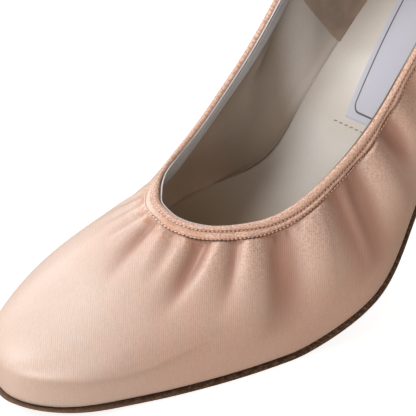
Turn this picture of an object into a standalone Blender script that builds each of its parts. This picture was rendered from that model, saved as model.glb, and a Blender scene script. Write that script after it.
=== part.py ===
"""A left ballroom court shoe with a slim flared heel: outsole, upper, insole, heel and heel tip.

X runs from the heel to the toe, +Y is the wearer's left (the outer side) and Z is up. The floor is
z = 0, under the middle of the shoe. Tables and sizes are in millimetres, and meshes are in metres.
"""

import bmesh
import bpy
import numpy as np

MM = 0.001

# Driving dimensions
LENGTH = 245.0  # from the back of the heel to the toe, seen from above
WALL = 1.8  # satin, interlining and lining together
SOLE = 2.7  # outsole
INSOLE = 1.5
GAP = 0.3  # between pieces that touch
SOLE_EDGE = 0.6  # how far the outsole stands out past the upper
HEEL_EDGE = 0.3  # how far the heel's seat stands out past the upper
BREAST = 52.0  # the heel's front face, from the back of the shoe
TIP_HEIGHT = 5.7  # heel tip
RIM = 0.6  # how far the topline's rounded edge rises over the wall, as a share of WALL
MIDDLE = (122.12, 3.28)  # the point of the shoe's plan that stands over the origin

# Mesh density
RIBS_PER_SIDE = 54
RIB_STEPS = 13
PLATE_STATIONS = 44
PLATE_COLUMNS = 6
HEEL_ROUND = 26
HEEL_BREAST_STEPS = 8
FINE = 4001  # samples round the feather line where a station is looked up
SHARP_ANGLE = 40.0  # degrees

# Underside of the sole: station along the shoe, height over the floor. The tread lies flat on the
# floor from TREAD_START to TREAD_END, and the toe springs up from there.
SHANK = (
    (0.0, 78.0),
    (25.0, 75.6),
    (50.0, 69.2),
    (75.0, 57.4),
    (100.0, 38.0),
    (120.0, 19.4),
    (140.0, 8.6),
    (156.0, 2.2),
    (168.0, 0.0),
)
TREAD_START, TREAD_END = 168.0, 202.0
TOE_SPRING = 6.0

# The upper's ribs, once round the shoe: from the back of the heel along the outer side to the toe, and
# back along the inner side. A rib rises from the feather line (foot_x, foot_y) on the sole to the
# topline (top_x, top_y), which is rise above the sole there. It leaves the sole leaning out by lean
# degrees with a pull of wall, and it reaches the topline sloping up at slope degrees with a pull of
# crown.
RIB_COLUMNS = ("foot_x", "foot_y", "top_x", "top_y", "rise", "wall", "crown", "lean", "slope")
RIBS = (
    (0.0, 0.0, 4.4, 0.0, 55.0, 22.0, 20.0, 9.0, 78.0),
    (9.0, 17.6, 11.0, 12.0, 54.0, 22.0, 20.0, 8.0, 78.0),
    (28.0, 26.4, 28.0, 19.2, 50.2, 20.0, 18.0, 7.0, 78.0),
    (55.0, 27.8, 53.5, 23.2, 45.8, 18.0, 16.0, 6.0, 79.0),
    (85.0, 30.8, 83.0, 24.5, 43.4, 18.0, 16.0, 6.0, 79.0),
    (112.0, 35.4, 111.0, 25.6, 43.0, 18.0, 16.0, 8.0, 76.0),
    (136.0, 42.7, 135.5, 26.8, 42.4, 18.0, 16.0, 12.0, 66.0),
    (157.0, 39.2, 155.5, 25.0, 42.4, 18.0, 20.0, 14.0, 54.0),
    (178.0, 33.4, 168.0, 19.6, 42.0, 18.0, 26.0, 14.0, 44.0),
    (199.0, 25.6, 175.8, 13.6, 41.6, 18.0, 32.0, 12.0, 36.0),
    (218.0, 17.5, 180.2, 8.0, 41.6, 18.0, 42.6, 10.0, 30.0),
    (233.0, 10.8, 182.0, 3.4, 42.0, 18.0, 51.4, 8.0, 27.0),
    (LENGTH, -5.2, 182.5, -1.2, 42.8, 18.0, 58.0, 6.0, 25.0),
    (241.0, -14.8, 182.0, -4.9, 43.4, 19.0, 55.0, 9.0, 25.5),
    (230.0, -24.0, 179.7, -8.6, 43.8, 19.0, 43.0, 11.0, 29.0),
    (213.0, -30.8, 174.7, -12.6, 43.6, 20.0, 31.0, 13.5, 37.0),
    (193.0, -34.2, 165.7, -16.6, 43.0, 18.0, 20.0, 14.0, 50.0),
    (172.0, -35.8, 153.0, -21.0, 42.6, 16.5, 15.0, 12.5, 59.5),
    (150.0, -35.2, 136.4, -25.2, 42.8, 17.5, 14.0, 11.5, 67.5),
    (126.0, -27.6, 118.6, -27.8, 44.4, 18.0, 14.8, 8.0, 74.0),
    (100.0, -23.8, 97.8, -28.5, 47.2, 18.0, 15.6, 6.0, 80.0),
    (75.0, -25.2, 74.0, -27.9, 49.2, 18.0, 16.0, 5.0, 81.0),
    (52.0, -27.0, 50.5, -24.6, 49.8, 19.0, 17.0, 6.0, 79.0),
    (28.0, -26.4, 28.0, -19.2, 50.8, 20.0, 18.0, 7.0, 78.0),
    (9.0, -17.6, 11.0, -12.0, 54.0, 22.0, 20.0, 8.0, 78.0),
)
TOE_RIB = 12
FOOT_SHARE, TOP_SHARE = 0.7, 0.3  # how far each line spaces the ribs
CROWN_OUTWARD = 15.0  # turns a rib's top away from the line between its ends, towards square to the edge

# The heel below its seat: height over the floor, where its back and its breast are along the shoe,
# half its width, and how far its outline has turned from the seat's into the tip's.
HEEL_COLUMNS = ("height", "back", "breast", "half_width", "turned")
HEEL_SECTIONS = (
    (69.5, 1.6, 48.6, 25.2, 0.06),
    (63.0, 5.0, 43.2, 21.6, 0.25),
    (55.0, 8.6, 39.0, 18.0, 0.48),
    (46.0, 11.4, 36.0, 15.0, 0.70),
    (36.0, 13.2, 34.2, 12.8, 0.88),
    (25.0, 14.2, 33.4, 11.4, 1.00),
    (14.0, 14.2, 33.8, 11.3, 1.00),
    (TIP_HEIGHT + GAP, 13.4, 35.0, 12.2, 1.00),
)
TIP_BREAST_ROUND = 0.14  # how far the tip's front corners are rounded, as a share of its length
TIP_SQUARENESS = 0.8  # under 1, the tip's round side is fuller than an ellipse


def open_spline(knots, values):
    """A smooth curve through the knots that is level at its last one."""
    count = len(knots)
    step = np.diff(knots)
    slope = np.diff(values) / step
    matrix = np.zeros((count, count))
    right = np.zeros(count)
    for i in range(1, count - 1):
        matrix[i, i - 1 : i + 2] = step[i], 2 * (step[i - 1] + step[i]), step[i - 1]
        right[i] = 3 * (step[i] * slope[i - 1] + step[i - 1] * slope[i])
    matrix[0, :2] = 2, 1
    right[0] = 3 * slope[0]
    matrix[-1, -1] = 1
    return hermite(knots, values, np.linalg.solve(matrix, right))


def closed_spline(knots, values):
    """A smooth curve through the knots that runs round into itself. Its first value ends it too."""
    count = len(knots) - 1
    step = np.diff(knots)
    slope = np.diff(values, axis=0) / step[:, None]
    matrix = np.zeros((count, count))
    right = np.zeros((count, values.shape[1]))
    for i in range(count):
        before, after = step[i - 1], step[i]
        matrix[i, i - 1] += after
        matrix[i, i] += 2 * (before + after)
        matrix[i, (i + 1) % count] += before
        right[i] = 3 * (after * slope[i - 1] + before * slope[i])
    tangents = np.linalg.solve(matrix, right)
    return hermite(knots, values, np.vstack([tangents, tangents[:1]]))


def hermite(knots, values, tangents):
    """Cubic pieces between the knots, as a function of the distance along them."""
    values = np.asarray(values, float)

    def curve(at):
        at = np.asarray(at, float)
        piece = np.clip(np.searchsorted(knots, at, side="right") - 1, 0, len(knots) - 2)
        span = knots[piece + 1] - knots[piece]
        t = (at - knots[piece]) / span
        if values.ndim > 1:
            t, span = t[..., None], span[..., None]
        start = (1 + 2 * t) * (1 - t) ** 2 * values[piece] + t * (1 - t) ** 2 * span * tangents[piece]
        end = t * t * (3 - 2 * t) * values[piece + 1] + t * t * (t - 1) * span * tangents[piece + 1]
        return start + end

    return curve


SHANK_CURVE = open_spline(*np.array(SHANK).T)


def underside(x):
    """Height of the sole's underside over the floor at each station."""
    x = np.clip(x, 0.0, LENGTH)
    arch = SHANK_CURVE(np.minimum(x, TREAD_START))
    spring = TOE_SPRING * (np.maximum(x - TREAD_END, 0.0) / (LENGTH - TREAD_END)) ** 2
    return np.where(x < TREAD_START, arch, spring)


def rib_curve():
    """The ribs' table as one closed curve, and the distances round it of the toe and of the end."""
    rows = np.array(RIBS + RIBS[:1], float)
    foot = np.linalg.norm(np.diff(rows[:, 0:2], axis=0), axis=1)
    top = np.linalg.norm(np.diff(rows[:, 2:4], axis=0), axis=1)
    chords = np.sqrt(FOOT_SHARE * foot**2 + TOP_SHARE * top**2)
    along = np.concatenate([[0.0], np.cumsum(chords)])
    return closed_spline(along, rows), along[TOE_RIB], along[-1]


RIB_CURVE, TOE_AT, ROUND = rib_curve()


def unit(vectors):
    return vectors / np.linalg.norm(vectors, axis=-1, keepdims=True)


def outward(at):
    """The plan's outward direction, square to the feather line."""
    step = 0.5
    ahead = RIB_CURVE((at + step) % ROUND)[:, :2]
    behind = RIB_CURVE((at - step) % ROUND)[:, :2]
    along = unit(ahead - behind)
    return np.stack([-along[:, 1], along[:, 0]], axis=1)


def feather(at, out):
    """The feather line's plan, moved outwards by out."""
    return RIB_CURVE(at)[:, :2] + out * outward(at)


def over_plan(plan, height):
    """Points of a plan at a height above the sole's underside."""
    return np.column_stack([plan, underside(plan[:, 0]) + height])


def upper_surface(at, shares):
    """The upper's outer face: a grid of points, ribs down and shares of their height across."""
    rib = dict(zip(RIB_COLUMNS, RIB_CURVE(at).T))
    out = outward(at)
    foot = over_plan(np.column_stack([rib["foot_x"], rib["foot_y"]]), SOLE + GAP)
    top = over_plan(np.column_stack([rib["top_x"], rib["top_y"]]), SOLE + GAP + rib["rise"])
    lean, slope = np.radians(rib["lean"]), np.radians(rib["slope"])
    towards = unit((foot - top)[:, :2] + CROWN_OUTWARD * out)
    foot_pull = np.column_stack([out * np.sin(lean)[:, None], np.cos(lean)]) * rib["wall"][:, None]
    top_pull = np.column_stack([towards * np.cos(slope)[:, None], -np.sin(slope)]) * rib["crown"][:, None]
    v = np.asarray(shares)[None, :, None]
    bends = (foot, foot + foot_pull, top + top_pull, top)
    weights = ((1 - v) ** 3, 3 * (1 - v) ** 2 * v, 3 * (1 - v) * v**2, v**3)
    return sum(weight * bend[:, None, :] for weight, bend in zip(weights, bends))


def surface_normals(grid):
    """Outward directions at a grid's points."""
    round_it = np.roll(grid, -1, axis=0) - np.roll(grid, 1, axis=0)
    up_it = np.gradient(grid, axis=1)
    return unit(np.cross(up_it, round_it))


def make_object(name, rings, faces, material):
    """One closed mesh object from rings of points in millimetres. Points that fall together are joined."""
    points = (np.vstack(rings) - [*MIDDLE, 0.0]) * MM
    mesh = bpy.data.meshes.new(name)
    shape = bmesh.new()
    corners = [shape.verts.new(point) for point in points]
    for face in faces:
        shape.faces.new([corners[i] for i in face])
    bmesh.ops.remove_doubles(shape, verts=shape.verts, dist=1e-6)
    bmesh.ops.dissolve_degenerate(shape, edges=shape.edges, dist=1e-6)
    bmesh.ops.recalc_face_normals(shape, faces=shape.faces)
    shape.to_mesh(mesh)
    shape.free()
    mesh.shade_smooth()
    mesh.set_sharp_from_angle(angle=np.radians(SHARP_ANGLE))
    mesh.materials.append(material)
    thing = bpy.data.objects.new(name, mesh)
    bpy.context.scene.collection.objects.link(thing)
    return thing


def bridge(start, size, other):
    """Quads between two closed rings of size points that begin at start and at other."""
    turns = [(i, (i + 1) % size) for i in range(size)]
    return [(start + i, start + j, other + j, other + i) for i, j in turns]


def finish(name, colour, roughness):
    material = bpy.data.materials.new(name)
    material.use_nodes = True
    shader = material.node_tree.nodes["Principled BSDF"]
    shader.inputs["Base Color"].default_value = (*colour, 1.0)
    shader.inputs["Roughness"].default_value = roughness
    shader.inputs["Metallic"].default_value = 0.0
    return material


def round_positions():
    """Distances round the shoe for the ribs, with one on the heel's back and one on the toe."""
    outer = np.linspace(0.0, TOE_AT, RIBS_PER_SIDE, endpoint=False)
    inner = np.linspace(TOE_AT, ROUND, RIBS_PER_SIDE, endpoint=False)
    return np.concatenate([outer, inner])


def make_upper(satin):
    """The hollow wall: outer face up, over the topline's rounded rim, and down the inner face."""
    at = round_positions()
    shares = np.linspace(0.0, 1.0, RIB_STEPS)
    outer = upper_surface(at, shares)
    normals = surface_normals(outer)
    inner = outer - WALL * normals
    inner[:, 0] = over_plan(feather(at, -WALL), SOLE + GAP)
    upward = unit(outer[:, -1] - outer[:, -2])
    rim = (outer[:, -1] + inner[:, -1]) / 2 + RIM * WALL * upward
    rings = [outer[:, j] for j in range(RIB_STEPS)] + [rim]
    rings += [inner[:, j] for j in reversed(range(RIB_STEPS))]
    size = len(at)
    faces = []
    for j in range(len(rings)):
        faces += bridge(j * size, size, (j + 1) % len(rings) * size)
    return make_object("upper", rings, faces, satin)


def side_positions(start):
    """Distances round the outer and the inner side, both from a station start to the toe."""
    fine = np.linspace(0.0, ROUND, FINE)
    stations = RIB_CURVE(fine)[:, 0]
    outer_side = fine <= TOE_AT
    outer_start = np.interp(start, stations[outer_side], fine[outer_side])
    inner_start = np.interp(start, stations[~outer_side][::-1], fine[~outer_side][::-1])
    outer = np.linspace(outer_start, TOE_AT, PLATE_STATIONS)
    inner = np.linspace(inner_start if start > 0 else ROUND, TOE_AT, PLATE_STATIONS)
    return outer, inner


def make_plate(name, start, out, low, high, material):
    """A sheet that follows the sole from a station to the toe, between two heights over its underside."""
    outer_at, inner_at = side_positions(start)
    outer, inner = feather(outer_at, out), feather(inner_at % ROUND, out)
    if start > 0:
        outer[0, 0] = inner[0, 0] = start
    inner[-1] = outer[-1]
    rows = []
    for height in (low, high):
        for column in np.linspace(0.0, 1.0, PLATE_COLUMNS + 1):
            rows.append(over_plan(outer + column * (inner - outer), height))
    size, width = PLATE_STATIONS, PLATE_COLUMNS + 1

    def number(layer, column, station):
        return (layer * width + column) * size + station

    faces = []
    for i in range(size - 1):
        for layer in (0, 1):
            for j in range(PLATE_COLUMNS):
                faces.append([number(layer, j + a, i + b) for a, b in ((0, 0), (0, 1), (1, 1), (1, 0))])
        for j in (0, PLATE_COLUMNS):
            faces.append([number(0, j, i), number(0, j, i + 1), number(1, j, i + 1), number(1, j, i)])
    for j in range(PLATE_COLUMNS if start > 0 else 0):
        faces.append([number(0, j, 0), number(0, j + 1, 0), number(1, j + 1, 0), number(1, j, 0)])
    return make_object(name, rows, faces, material)


def seat_outline():
    """The heel's seat: round the back from the inner end of the breast to the outer end, and across."""
    fine = np.linspace(-ROUND / 2, ROUND / 2, FINE)
    stations = RIB_CURVE(fine % ROUND)[:, 0]
    ends = np.interp([-BREAST, BREAST], np.sign(fine) * stations, fine)
    back = feather(np.linspace(*ends, HEEL_ROUND) % ROUND, HEEL_EDGE)
    back[[0, -1], 0] = BREAST
    across = np.linspace(back[-1], back[0], HEEL_BREAST_STEPS + 2)[1:-1]
    return np.vstack([back, across])


def tip_outline():
    """The tip's outline in shares: 0 to 1 from back to breast, and -1 to 1 across."""
    turn = np.linspace(-np.pi / 2, np.pi / 2, HEEL_ROUND)
    share = 1 - np.cos(turn) ** TIP_SQUARENESS
    wide = np.sin(turn)
    across = np.linspace(wide[-1], wide[0], HEEL_BREAST_STEPS + 2)[1:-1]
    back = np.column_stack([share * (1 - TIP_BREAST_ROUND), wide])
    front = np.column_stack([1 - TIP_BREAST_ROUND * np.abs(across) ** 3, across])
    return np.vstack([back, front])


def heel_ring(section, seat, tip):
    """One level outline of the heel, from its section's row."""
    half = np.abs(seat[:, 1]).max()
    shares = np.column_stack([seat[:, 0] / BREAST, seat[:, 1] / half])
    mixed = shares + section["turned"] * (tip - shares)
    length = section["breast"] - section["back"]
    return np.column_stack([section["back"] + mixed[:, 0] * length, mixed[:, 1] * section["half_width"]])


def make_heel(satin, tip_material):
    """The heel from its seat down to its tip, and the tip under it."""
    seat, tip = seat_outline(), tip_outline()
    rings = [over_plan(seat, SOLE), over_plan(seat, 0.0)]
    sections = [dict(zip(HEEL_COLUMNS, row)) for row in HEEL_SECTIONS]
    seat_middle = underside(np.array([BREAST / 2]))[0]
    for section in sections:
        plan = heel_ring(section, seat, tip)
        tilt = (1 - section["turned"]) * section["height"] / seat_middle
        level = section["height"] + tilt * (underside(plan[:, 0]) - seat_middle)
        rings.append(np.column_stack([plan, level]))
    size = len(seat)
    faces = []
    for j in range(len(rings) - 1):
        faces += bridge(j * size, size, (j + 1) * size)
    faces += cap(0, size)
    faces += cap((len(rings) - 1) * size, size)
    make_object("heel", rings, faces, satin)

    plan = rings[-1][:, :2]
    tip_rings = [np.column_stack([plan, np.full(size, height)]) for height in (TIP_HEIGHT, 0.0)]
    faces = bridge(0, size, size) + cap(0, size) + cap(size, size)
    make_object("heel_tip", tip_rings, faces, tip_material)


def cap(start, size):
    """Faces that close a heel ring: strips across its round side, and one face along its breast."""
    half = HEEL_ROUND // 2
    strips = []
    left = list(range(start, start + half))
    right = list(range(start + HEEL_ROUND - 1, start + half - 1, -1))
    for i in range(half - 1):
        strips.append([left[i], left[i + 1], right[i + 1], right[i]])
    breast = [start + (HEEL_ROUND - 1 + k) % size for k in range(HEEL_BREAST_STEPS + 2)]
    strips.append(breast)
    return strips


def clear_scene():
    for thing in list(bpy.data.objects):
        bpy.data.objects.remove(thing)


def main():
    clear_scene()
    satin = finish("peach_satin", (0.72, 0.47, 0.37), 0.45)
    suede = finish("brown_sole", (0.10, 0.05, 0.03), 0.85)
    board = finish("pale_insole", (0.62, 0.58, 0.51), 0.70)
    rubber = finish("dark_tip", (0.05, 0.04, 0.035), 0.60)
    make_plate("outsole", BREAST + GAP, SOLE_EDGE, 0.0, SOLE, suede)
    make_plate("insole", 0.0, -WALL - GAP, SOLE + GAP, SOLE + GAP + INSOLE, board)
    make_upper(satin)
    make_heel(satin, rubber)


main()
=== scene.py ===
# A left ballroom court shoe in peach satin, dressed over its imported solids.
# X runs from heel to toe, +Y is the wearer's outer side and Z is up. Sizes are in millimetres.
import math

import bmesh
import bpy
import numpy as np
from mathutils import Matrix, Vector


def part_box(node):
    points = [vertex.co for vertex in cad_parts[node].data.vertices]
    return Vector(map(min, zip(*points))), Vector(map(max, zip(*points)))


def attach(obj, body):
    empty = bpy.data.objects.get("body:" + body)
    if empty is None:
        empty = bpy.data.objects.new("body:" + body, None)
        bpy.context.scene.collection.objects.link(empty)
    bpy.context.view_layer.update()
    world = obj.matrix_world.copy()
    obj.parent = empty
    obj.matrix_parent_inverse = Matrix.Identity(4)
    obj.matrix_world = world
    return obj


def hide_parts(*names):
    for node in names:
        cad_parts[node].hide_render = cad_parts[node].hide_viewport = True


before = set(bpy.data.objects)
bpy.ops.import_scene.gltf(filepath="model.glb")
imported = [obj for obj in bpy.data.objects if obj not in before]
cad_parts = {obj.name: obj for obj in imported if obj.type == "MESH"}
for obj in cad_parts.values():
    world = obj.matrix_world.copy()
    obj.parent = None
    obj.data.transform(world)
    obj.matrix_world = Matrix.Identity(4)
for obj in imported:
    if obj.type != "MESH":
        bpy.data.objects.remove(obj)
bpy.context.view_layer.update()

last = {
    "length": 245.0, "wall": 1.8, "sole": 2.7, "gap": 0.3, "insole": 1.5,
    "soleEdge": 0.6, "heelEdge": 0.3, "breast": 52.0,
    "treadStart": 168.0, "treadEnd": 202.0, "toeSpring": 6.0,
    "toeRib": 12,  # the rib at the toe's point, counted from the heel's
    "footShare": 0.7, "topShare": 0.3,  # how far the sole's and the topline's lengths space the ribs
    "crownOutward": 15.0,  # turns the crown's pull from straight down the rib towards straight outwards
    # station along the shoe and height of the sole's underside
    "shank": ((0.0, 78.0), (25.0, 75.6), (50.0, 69.2), (75.0, 57.4), (100.0, 38.0), (120.0, 19.4),
              (140.0, 8.6), (156.0, 2.2), (168.0, 0.0)),
}

# Ribs of the last, once round: heel, outer side, toe, inner side. Each has its place on the sole's edge
# and on the topline, the topline's rise over the sole, how strongly the wall and the crown pull, and the
# degrees by which the wall leans outwards and the crown slopes down.
ribColumns = ("footX", "footY", "topX", "topY", "rise", "wall", "crown", "lean", "slope")
ribs = (
    (0.0, 0.0, 4.4, 0.0, 55.0, 22.0, 20.0, 9.0, 78.0),
    (9.0, 17.6, 11.0, 12.0, 54.0, 22.0, 20.0, 8.0, 78.0),
    (28.0, 26.4, 28.0, 19.2, 50.2, 20.0, 18.0, 7.0, 78.0),
    (55.0, 27.8, 53.5, 23.2, 45.8, 18.0, 16.0, 6.0, 79.0),
    (85.0, 30.8, 83.0, 24.5, 43.4, 18.0, 16.0, 6.0, 79.0),
    (112.0, 35.4, 111.0, 25.6, 43.0, 18.0, 16.0, 8.0, 76.0),
    (136.0, 42.7, 135.5, 26.8, 42.4, 18.0, 16.0, 12.0, 66.0),
    (157.0, 39.2, 155.5, 25.0, 42.4, 18.0, 20.0, 14.0, 54.0),
    (178.0, 33.4, 168.0, 19.6, 42.0, 18.0, 26.0, 14.0, 44.0),
    (199.0, 25.6, 175.8, 13.6, 41.6, 18.0, 32.0, 12.0, 36.0),
    (218.0, 17.5, 180.2, 8.0, 41.6, 18.0, 42.6, 10.0, 30.0),
    (233.0, 10.8, 182.0, 3.4, 42.0, 18.0, 51.4, 8.0, 27.0),
    (245.0, -5.2, 182.5, -1.2, 42.8, 18.0, 58.0, 6.0, 25.0),
    (241.0, -14.8, 182.0, -4.9, 43.4, 19.0, 55.0, 9.0, 25.5),
    (230.0, -24.0, 179.7, -8.6, 43.8, 19.0, 43.0, 11.0, 29.0),
    (213.0, -30.8, 174.7, -12.6, 43.6, 20.0, 31.0, 13.5, 37.0),
    (193.0, -34.2, 165.7, -16.6, 43.0, 18.0, 20.0, 14.0, 50.0),
    (172.0, -35.8, 153.0, -21.0, 42.6, 16.5, 15.0, 12.5, 59.5),
    (150.0, -35.2, 136.4, -25.2, 42.8, 17.5, 14.0, 11.5, 67.5),
    (126.0, -27.6, 118.6, -27.8, 44.4, 18.0, 14.8, 8.0, 74.0),
    (100.0, -23.8, 97.8, -28.5, 47.2, 18.0, 15.6, 6.0, 80.0),
    (75.0, -25.2, 74.0, -27.9, 49.2, 18.0, 16.0, 5.0, 81.0),
    (52.0, -27.0, 50.5, -24.6, 49.8, 19.0, 17.0, 6.0, 79.0),
    (28.0, -26.4, 28.0, -19.2, 50.8, 20.0, 18.0, 7.0, 78.0),
    (9.0, -17.6, 11.0, -12.0, 54.0, 22.0, 20.0, 8.0, 78.0),
)

mm = 0.001
# The shoe's own millimetres start at the back of the heel. The frame says where that point is.
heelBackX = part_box("outsole")[1].x / mm - last["length"] - last["soleEdge"]
heelMiddleY = (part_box("heel_tip")[0].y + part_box("heel_tip")[1].y) / 2 / mm


def hermite(knots, values, tangents):
    values = np.asarray(values, float)

    def curve(at):
        at = np.asarray(at, float)
        piece = np.clip(np.searchsorted(knots, at, side="right") - 1, 0, len(knots) - 2)
        span = knots[piece + 1] - knots[piece]
        t = (at - knots[piece]) / span
        if values.ndim > 1:
            t, span = t[..., None], span[..., None]
        start = (1 + 2 * t) * (1 - t) ** 2 * values[piece] + t * (1 - t) ** 2 * span * tangents[piece]
        end = t * t * (3 - 2 * t) * values[piece + 1] + t * t * (t - 1) * span * tangents[piece + 1]
        return start + end

    return curve


def openSpline(knots, values):  # smooth through its knots, and level at the last one
    count = len(knots)
    step = np.diff(knots)
    slope = np.diff(values) / step
    matrix = np.zeros((count, count))
    right = np.zeros(count)
    for i in range(1, count - 1):
        matrix[i, i - 1 : i + 2] = step[i], 2 * (step[i - 1] + step[i]), step[i - 1]
        right[i] = 3 * (step[i] * slope[i - 1] + step[i - 1] * slope[i])
    matrix[0, :2] = 2, 1
    right[0] = 3 * slope[0]
    matrix[-1, -1] = 1
    return hermite(knots, values, np.linalg.solve(matrix, right))


def closedSpline(knots, values):  # runs round into itself
    count = len(knots) - 1
    step = np.diff(knots)
    slope = np.diff(values, axis=0) / step[:, None]
    matrix = np.zeros((count, count))
    right = np.zeros((count, values.shape[1]))
    for i in range(count):
        before, after = step[i - 1], step[i]
        matrix[i, i - 1] += after
        matrix[i, i] += 2 * (before + after)
        matrix[i, (i + 1) % count] += before
        right[i] = 3 * (after * slope[i - 1] + before * slope[i])
    tangents = np.linalg.solve(matrix, right)
    return hermite(knots, values, np.vstack([tangents, tangents[:1]]))


def ribTable():
    rows = np.array(ribs + ribs[:1], float)
    foot = np.linalg.norm(np.diff(rows[:, 0:2], axis=0), axis=1)
    top = np.linalg.norm(np.diff(rows[:, 2:4], axis=0), axis=1)
    chords = np.sqrt(last["footShare"] * foot**2 + last["topShare"] * top**2)
    places = np.concatenate([[0.0], np.cumsum(chords)])
    return closedSpline(places, rows), places[last["toeRib"]], places[-1]


shankCurve = openSpline(*np.array(last["shank"]).T)
ribCurve, toeAt, around = ribTable()


def underside(x):
    x = np.clip(x, 0.0, last["length"])
    arch = shankCurve(np.minimum(x, last["treadStart"]))
    past = np.maximum(x - last["treadEnd"], 0.0) / (last["length"] - last["treadEnd"])
    return np.where(x < last["treadStart"], arch, last["toeSpring"] * past**2)


def unit(vectors):
    return vectors / np.linalg.norm(vectors, axis=-1, keepdims=True)


def smooth(value, low, high):  # 0 at low, 1 at high, level at both
    t = np.clip((value - low) / (high - low), 0.0, 1.0)
    return t * t * (3 - 2 * t)


def outward(at, step=0.5):
    ahead, behind = (ribCurve((at + way) % around)[..., :2] for way in (step, -step))
    along = unit(ahead - behind)
    return np.stack([-along[..., 1], along[..., 0]], axis=-1)


def feather(at, out):  # the sole's edge in plan, moved outwards
    return ribCurve(at % around)[..., :2] + out * outward(at)


def overPlan(plan, height):
    return np.concatenate([plan, (underside(plan[..., 0]) + height)[..., None]], axis=-1)


def skinPoint(at, v):  # the upper's outer face: v is 0 at the sole and 1 at the topline
    table = ribCurve(at % around)
    rib = dict(zip(ribColumns, np.moveaxis(table, -1, 0)))
    out = outward(at)
    foot = overPlan(table[..., 0:2], last["sole"] + last["gap"])
    top = overPlan(table[..., 2:4], last["sole"] + last["gap"] + rib["rise"])
    lean, slope = (np.radians(rib[angle])[..., None] for angle in ("lean", "slope"))
    wall, crown = (rib[pull][..., None] for pull in ("wall", "crown"))
    towards = unit((foot - top)[..., :2] + last["crownOutward"] * out)
    footPull = np.concatenate([out * np.sin(lean), np.cos(lean)], axis=-1) * wall
    topPull = np.concatenate([towards * np.cos(slope), -np.sin(slope)], axis=-1) * crown
    v = v[..., None]
    low = (1 - v) ** 3 * foot + 3 * (1 - v) ** 2 * v * (foot + footPull)
    return low + 3 * (1 - v) * v**2 * (top + topPull) + v**3 * top


class Skin:  # the upper's outer face measured from its topline, for one set of places round it
    fineness = 161
    nudge = 0.004  # of the way up a rib, to find which way the skin runs there
    aside = 0.3  # mm to either side, for the same

    def __init__(self, at):
        self.at = np.asarray(at, float)
        shares = np.linspace(0.0, 1.0, self.fineness)
        points = skinPoint(self.at[:, None], shares[None, :])
        steps = np.linalg.norm(np.diff(points, axis=1), axis=-1)
        below = np.cumsum(steps[:, ::-1], axis=1)
        self.below = np.concatenate([np.zeros((len(self.at), 1)), below], axis=1)
        self.shares = shares[::-1]
        self.full = self.below[:, -1]  # mm from topline to sole on each rib

    def share(self, depth):
        rows = [np.interp(d, b, self.shares) for d, b in zip(depth, self.below)]
        return np.array(rows)

    def place(self, depth, lift):  # points at a depth below the topline and a height over the skin
        depth = np.broadcast_to(depth, (len(self.at), np.shape(depth)[-1])).astype(float)
        lift = np.asarray(lift) + throatFlare(self.at, depth)
        v = self.share(depth)
        at = np.broadcast_to(self.at[:, None], v.shape)
        point = skinPoint(at, v)
        low, high = np.clip(v - self.nudge, 0, 1), np.clip(v + self.nudge, 0, 1)
        upward = unit(skinPoint(at, high) - skinPoint(at, low))
        sideways = skinPoint(at + self.aside, v) - skinPoint(at - self.aside, v)
        self.normal = unit(np.cross(upward, sideways))
        return point + np.maximum(-depth, 0.0)[..., None] * upward + lift[..., None] * self.normal


def toplineLengths():
    at = np.linspace(0.0, around, 2001)
    tops = skinPoint(at, np.ones_like(at))
    run = np.concatenate([[0.0], np.cumsum(np.linalg.norm(np.diff(tops, axis=0), axis=1))])
    return at, run, np.interp(toeAt, at, run)


toplineAt, toplineRun, toplineToe = toplineLengths()


def alongTopline(at):  # mm along the topline from the throat, + on the outer side
    return toplineToe - np.interp(at, toplineAt, toplineRun)


def folded(along):  # the same, kept within half the topline either way
    half = toplineRun[-1] / 2
    return (along + half) % (2 * half) - half


throat = {
    # how the topline's elastic stands the edge up and draws the cloth in below it, on the inner side:
    # mm along the topline, mm outwards at the edge, and mm outwards below the band
    "flare": ((-180.0, 0.0, 0.0), (-150.0, 0.0, -0.2), (-110.0, 0.0, -0.9), (-60.0, 0.0, -1.0),
              (-44.0, 0.3, -1.0), (-35.0, 0.9, -0.9), (-27.0, 1.5, -0.9), (-20.0, 1.4, -0.8),
              (-14.0, 0.5, -0.5), (-8.5, -0.5, -0.3), (-3.0, -0.4, 0.0), (4.0, 0.0, 0.0),
              (10.0, 0.0, 0.0)),
    "edgeTo": 4.5, "belowTo": (6.0, 22.0),  # mm below the edge
}
throatAlong, throatEdge, throatBelow = np.array(throat["flare"]).T
edgeCurve, belowCurve = openSpline(throatAlong, throatEdge), openSpline(throatAlong, throatBelow)


def throatFlare(at, depth):  # mm outwards that everything by the topline moves together
    here = np.clip(folded(alongTopline(at)), throatAlong[0], throatAlong[-1])[:, None]
    share = smooth(depth, 0.0, throat["edgeTo"])
    fade = 1 - smooth(depth, *throat["belowTo"])
    return (edgeCurve(here) * (1 - share) + belowCurve(here) * share) * fade


def evenPlaces(count):  # places round the upper, with one on the back of the heel and one on the toe
    outer = np.linspace(0.0, toeAt, count // 2, endpoint=False)
    inner = np.linspace(toeAt, around, count - count // 2, endpoint=False)
    return np.concatenate([outer, inner])


fineSteps = 4001  # steps round the whole upper when a station is looked for


def toWorld(points):
    return (np.asarray(points, float).reshape(-1, 3) + [heelBackX, heelMiddleY, 0.0]) * mm


def signedVolume(points, faces):  # six times the volume; its sign says which way the faces are turned
    a, b, c, d = (points[faces[:, k]] for k in range(4))
    first = np.cross(b - a, c - a) * (a + b + c)
    second = np.cross(c - a, d - a) * (a + c + d)
    return first.sum() + second.sum()


def putInScene(name, data):
    thing = bpy.data.objects.new(name, data)
    bpy.context.scene.collection.objects.link(thing)
    return thing


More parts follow.
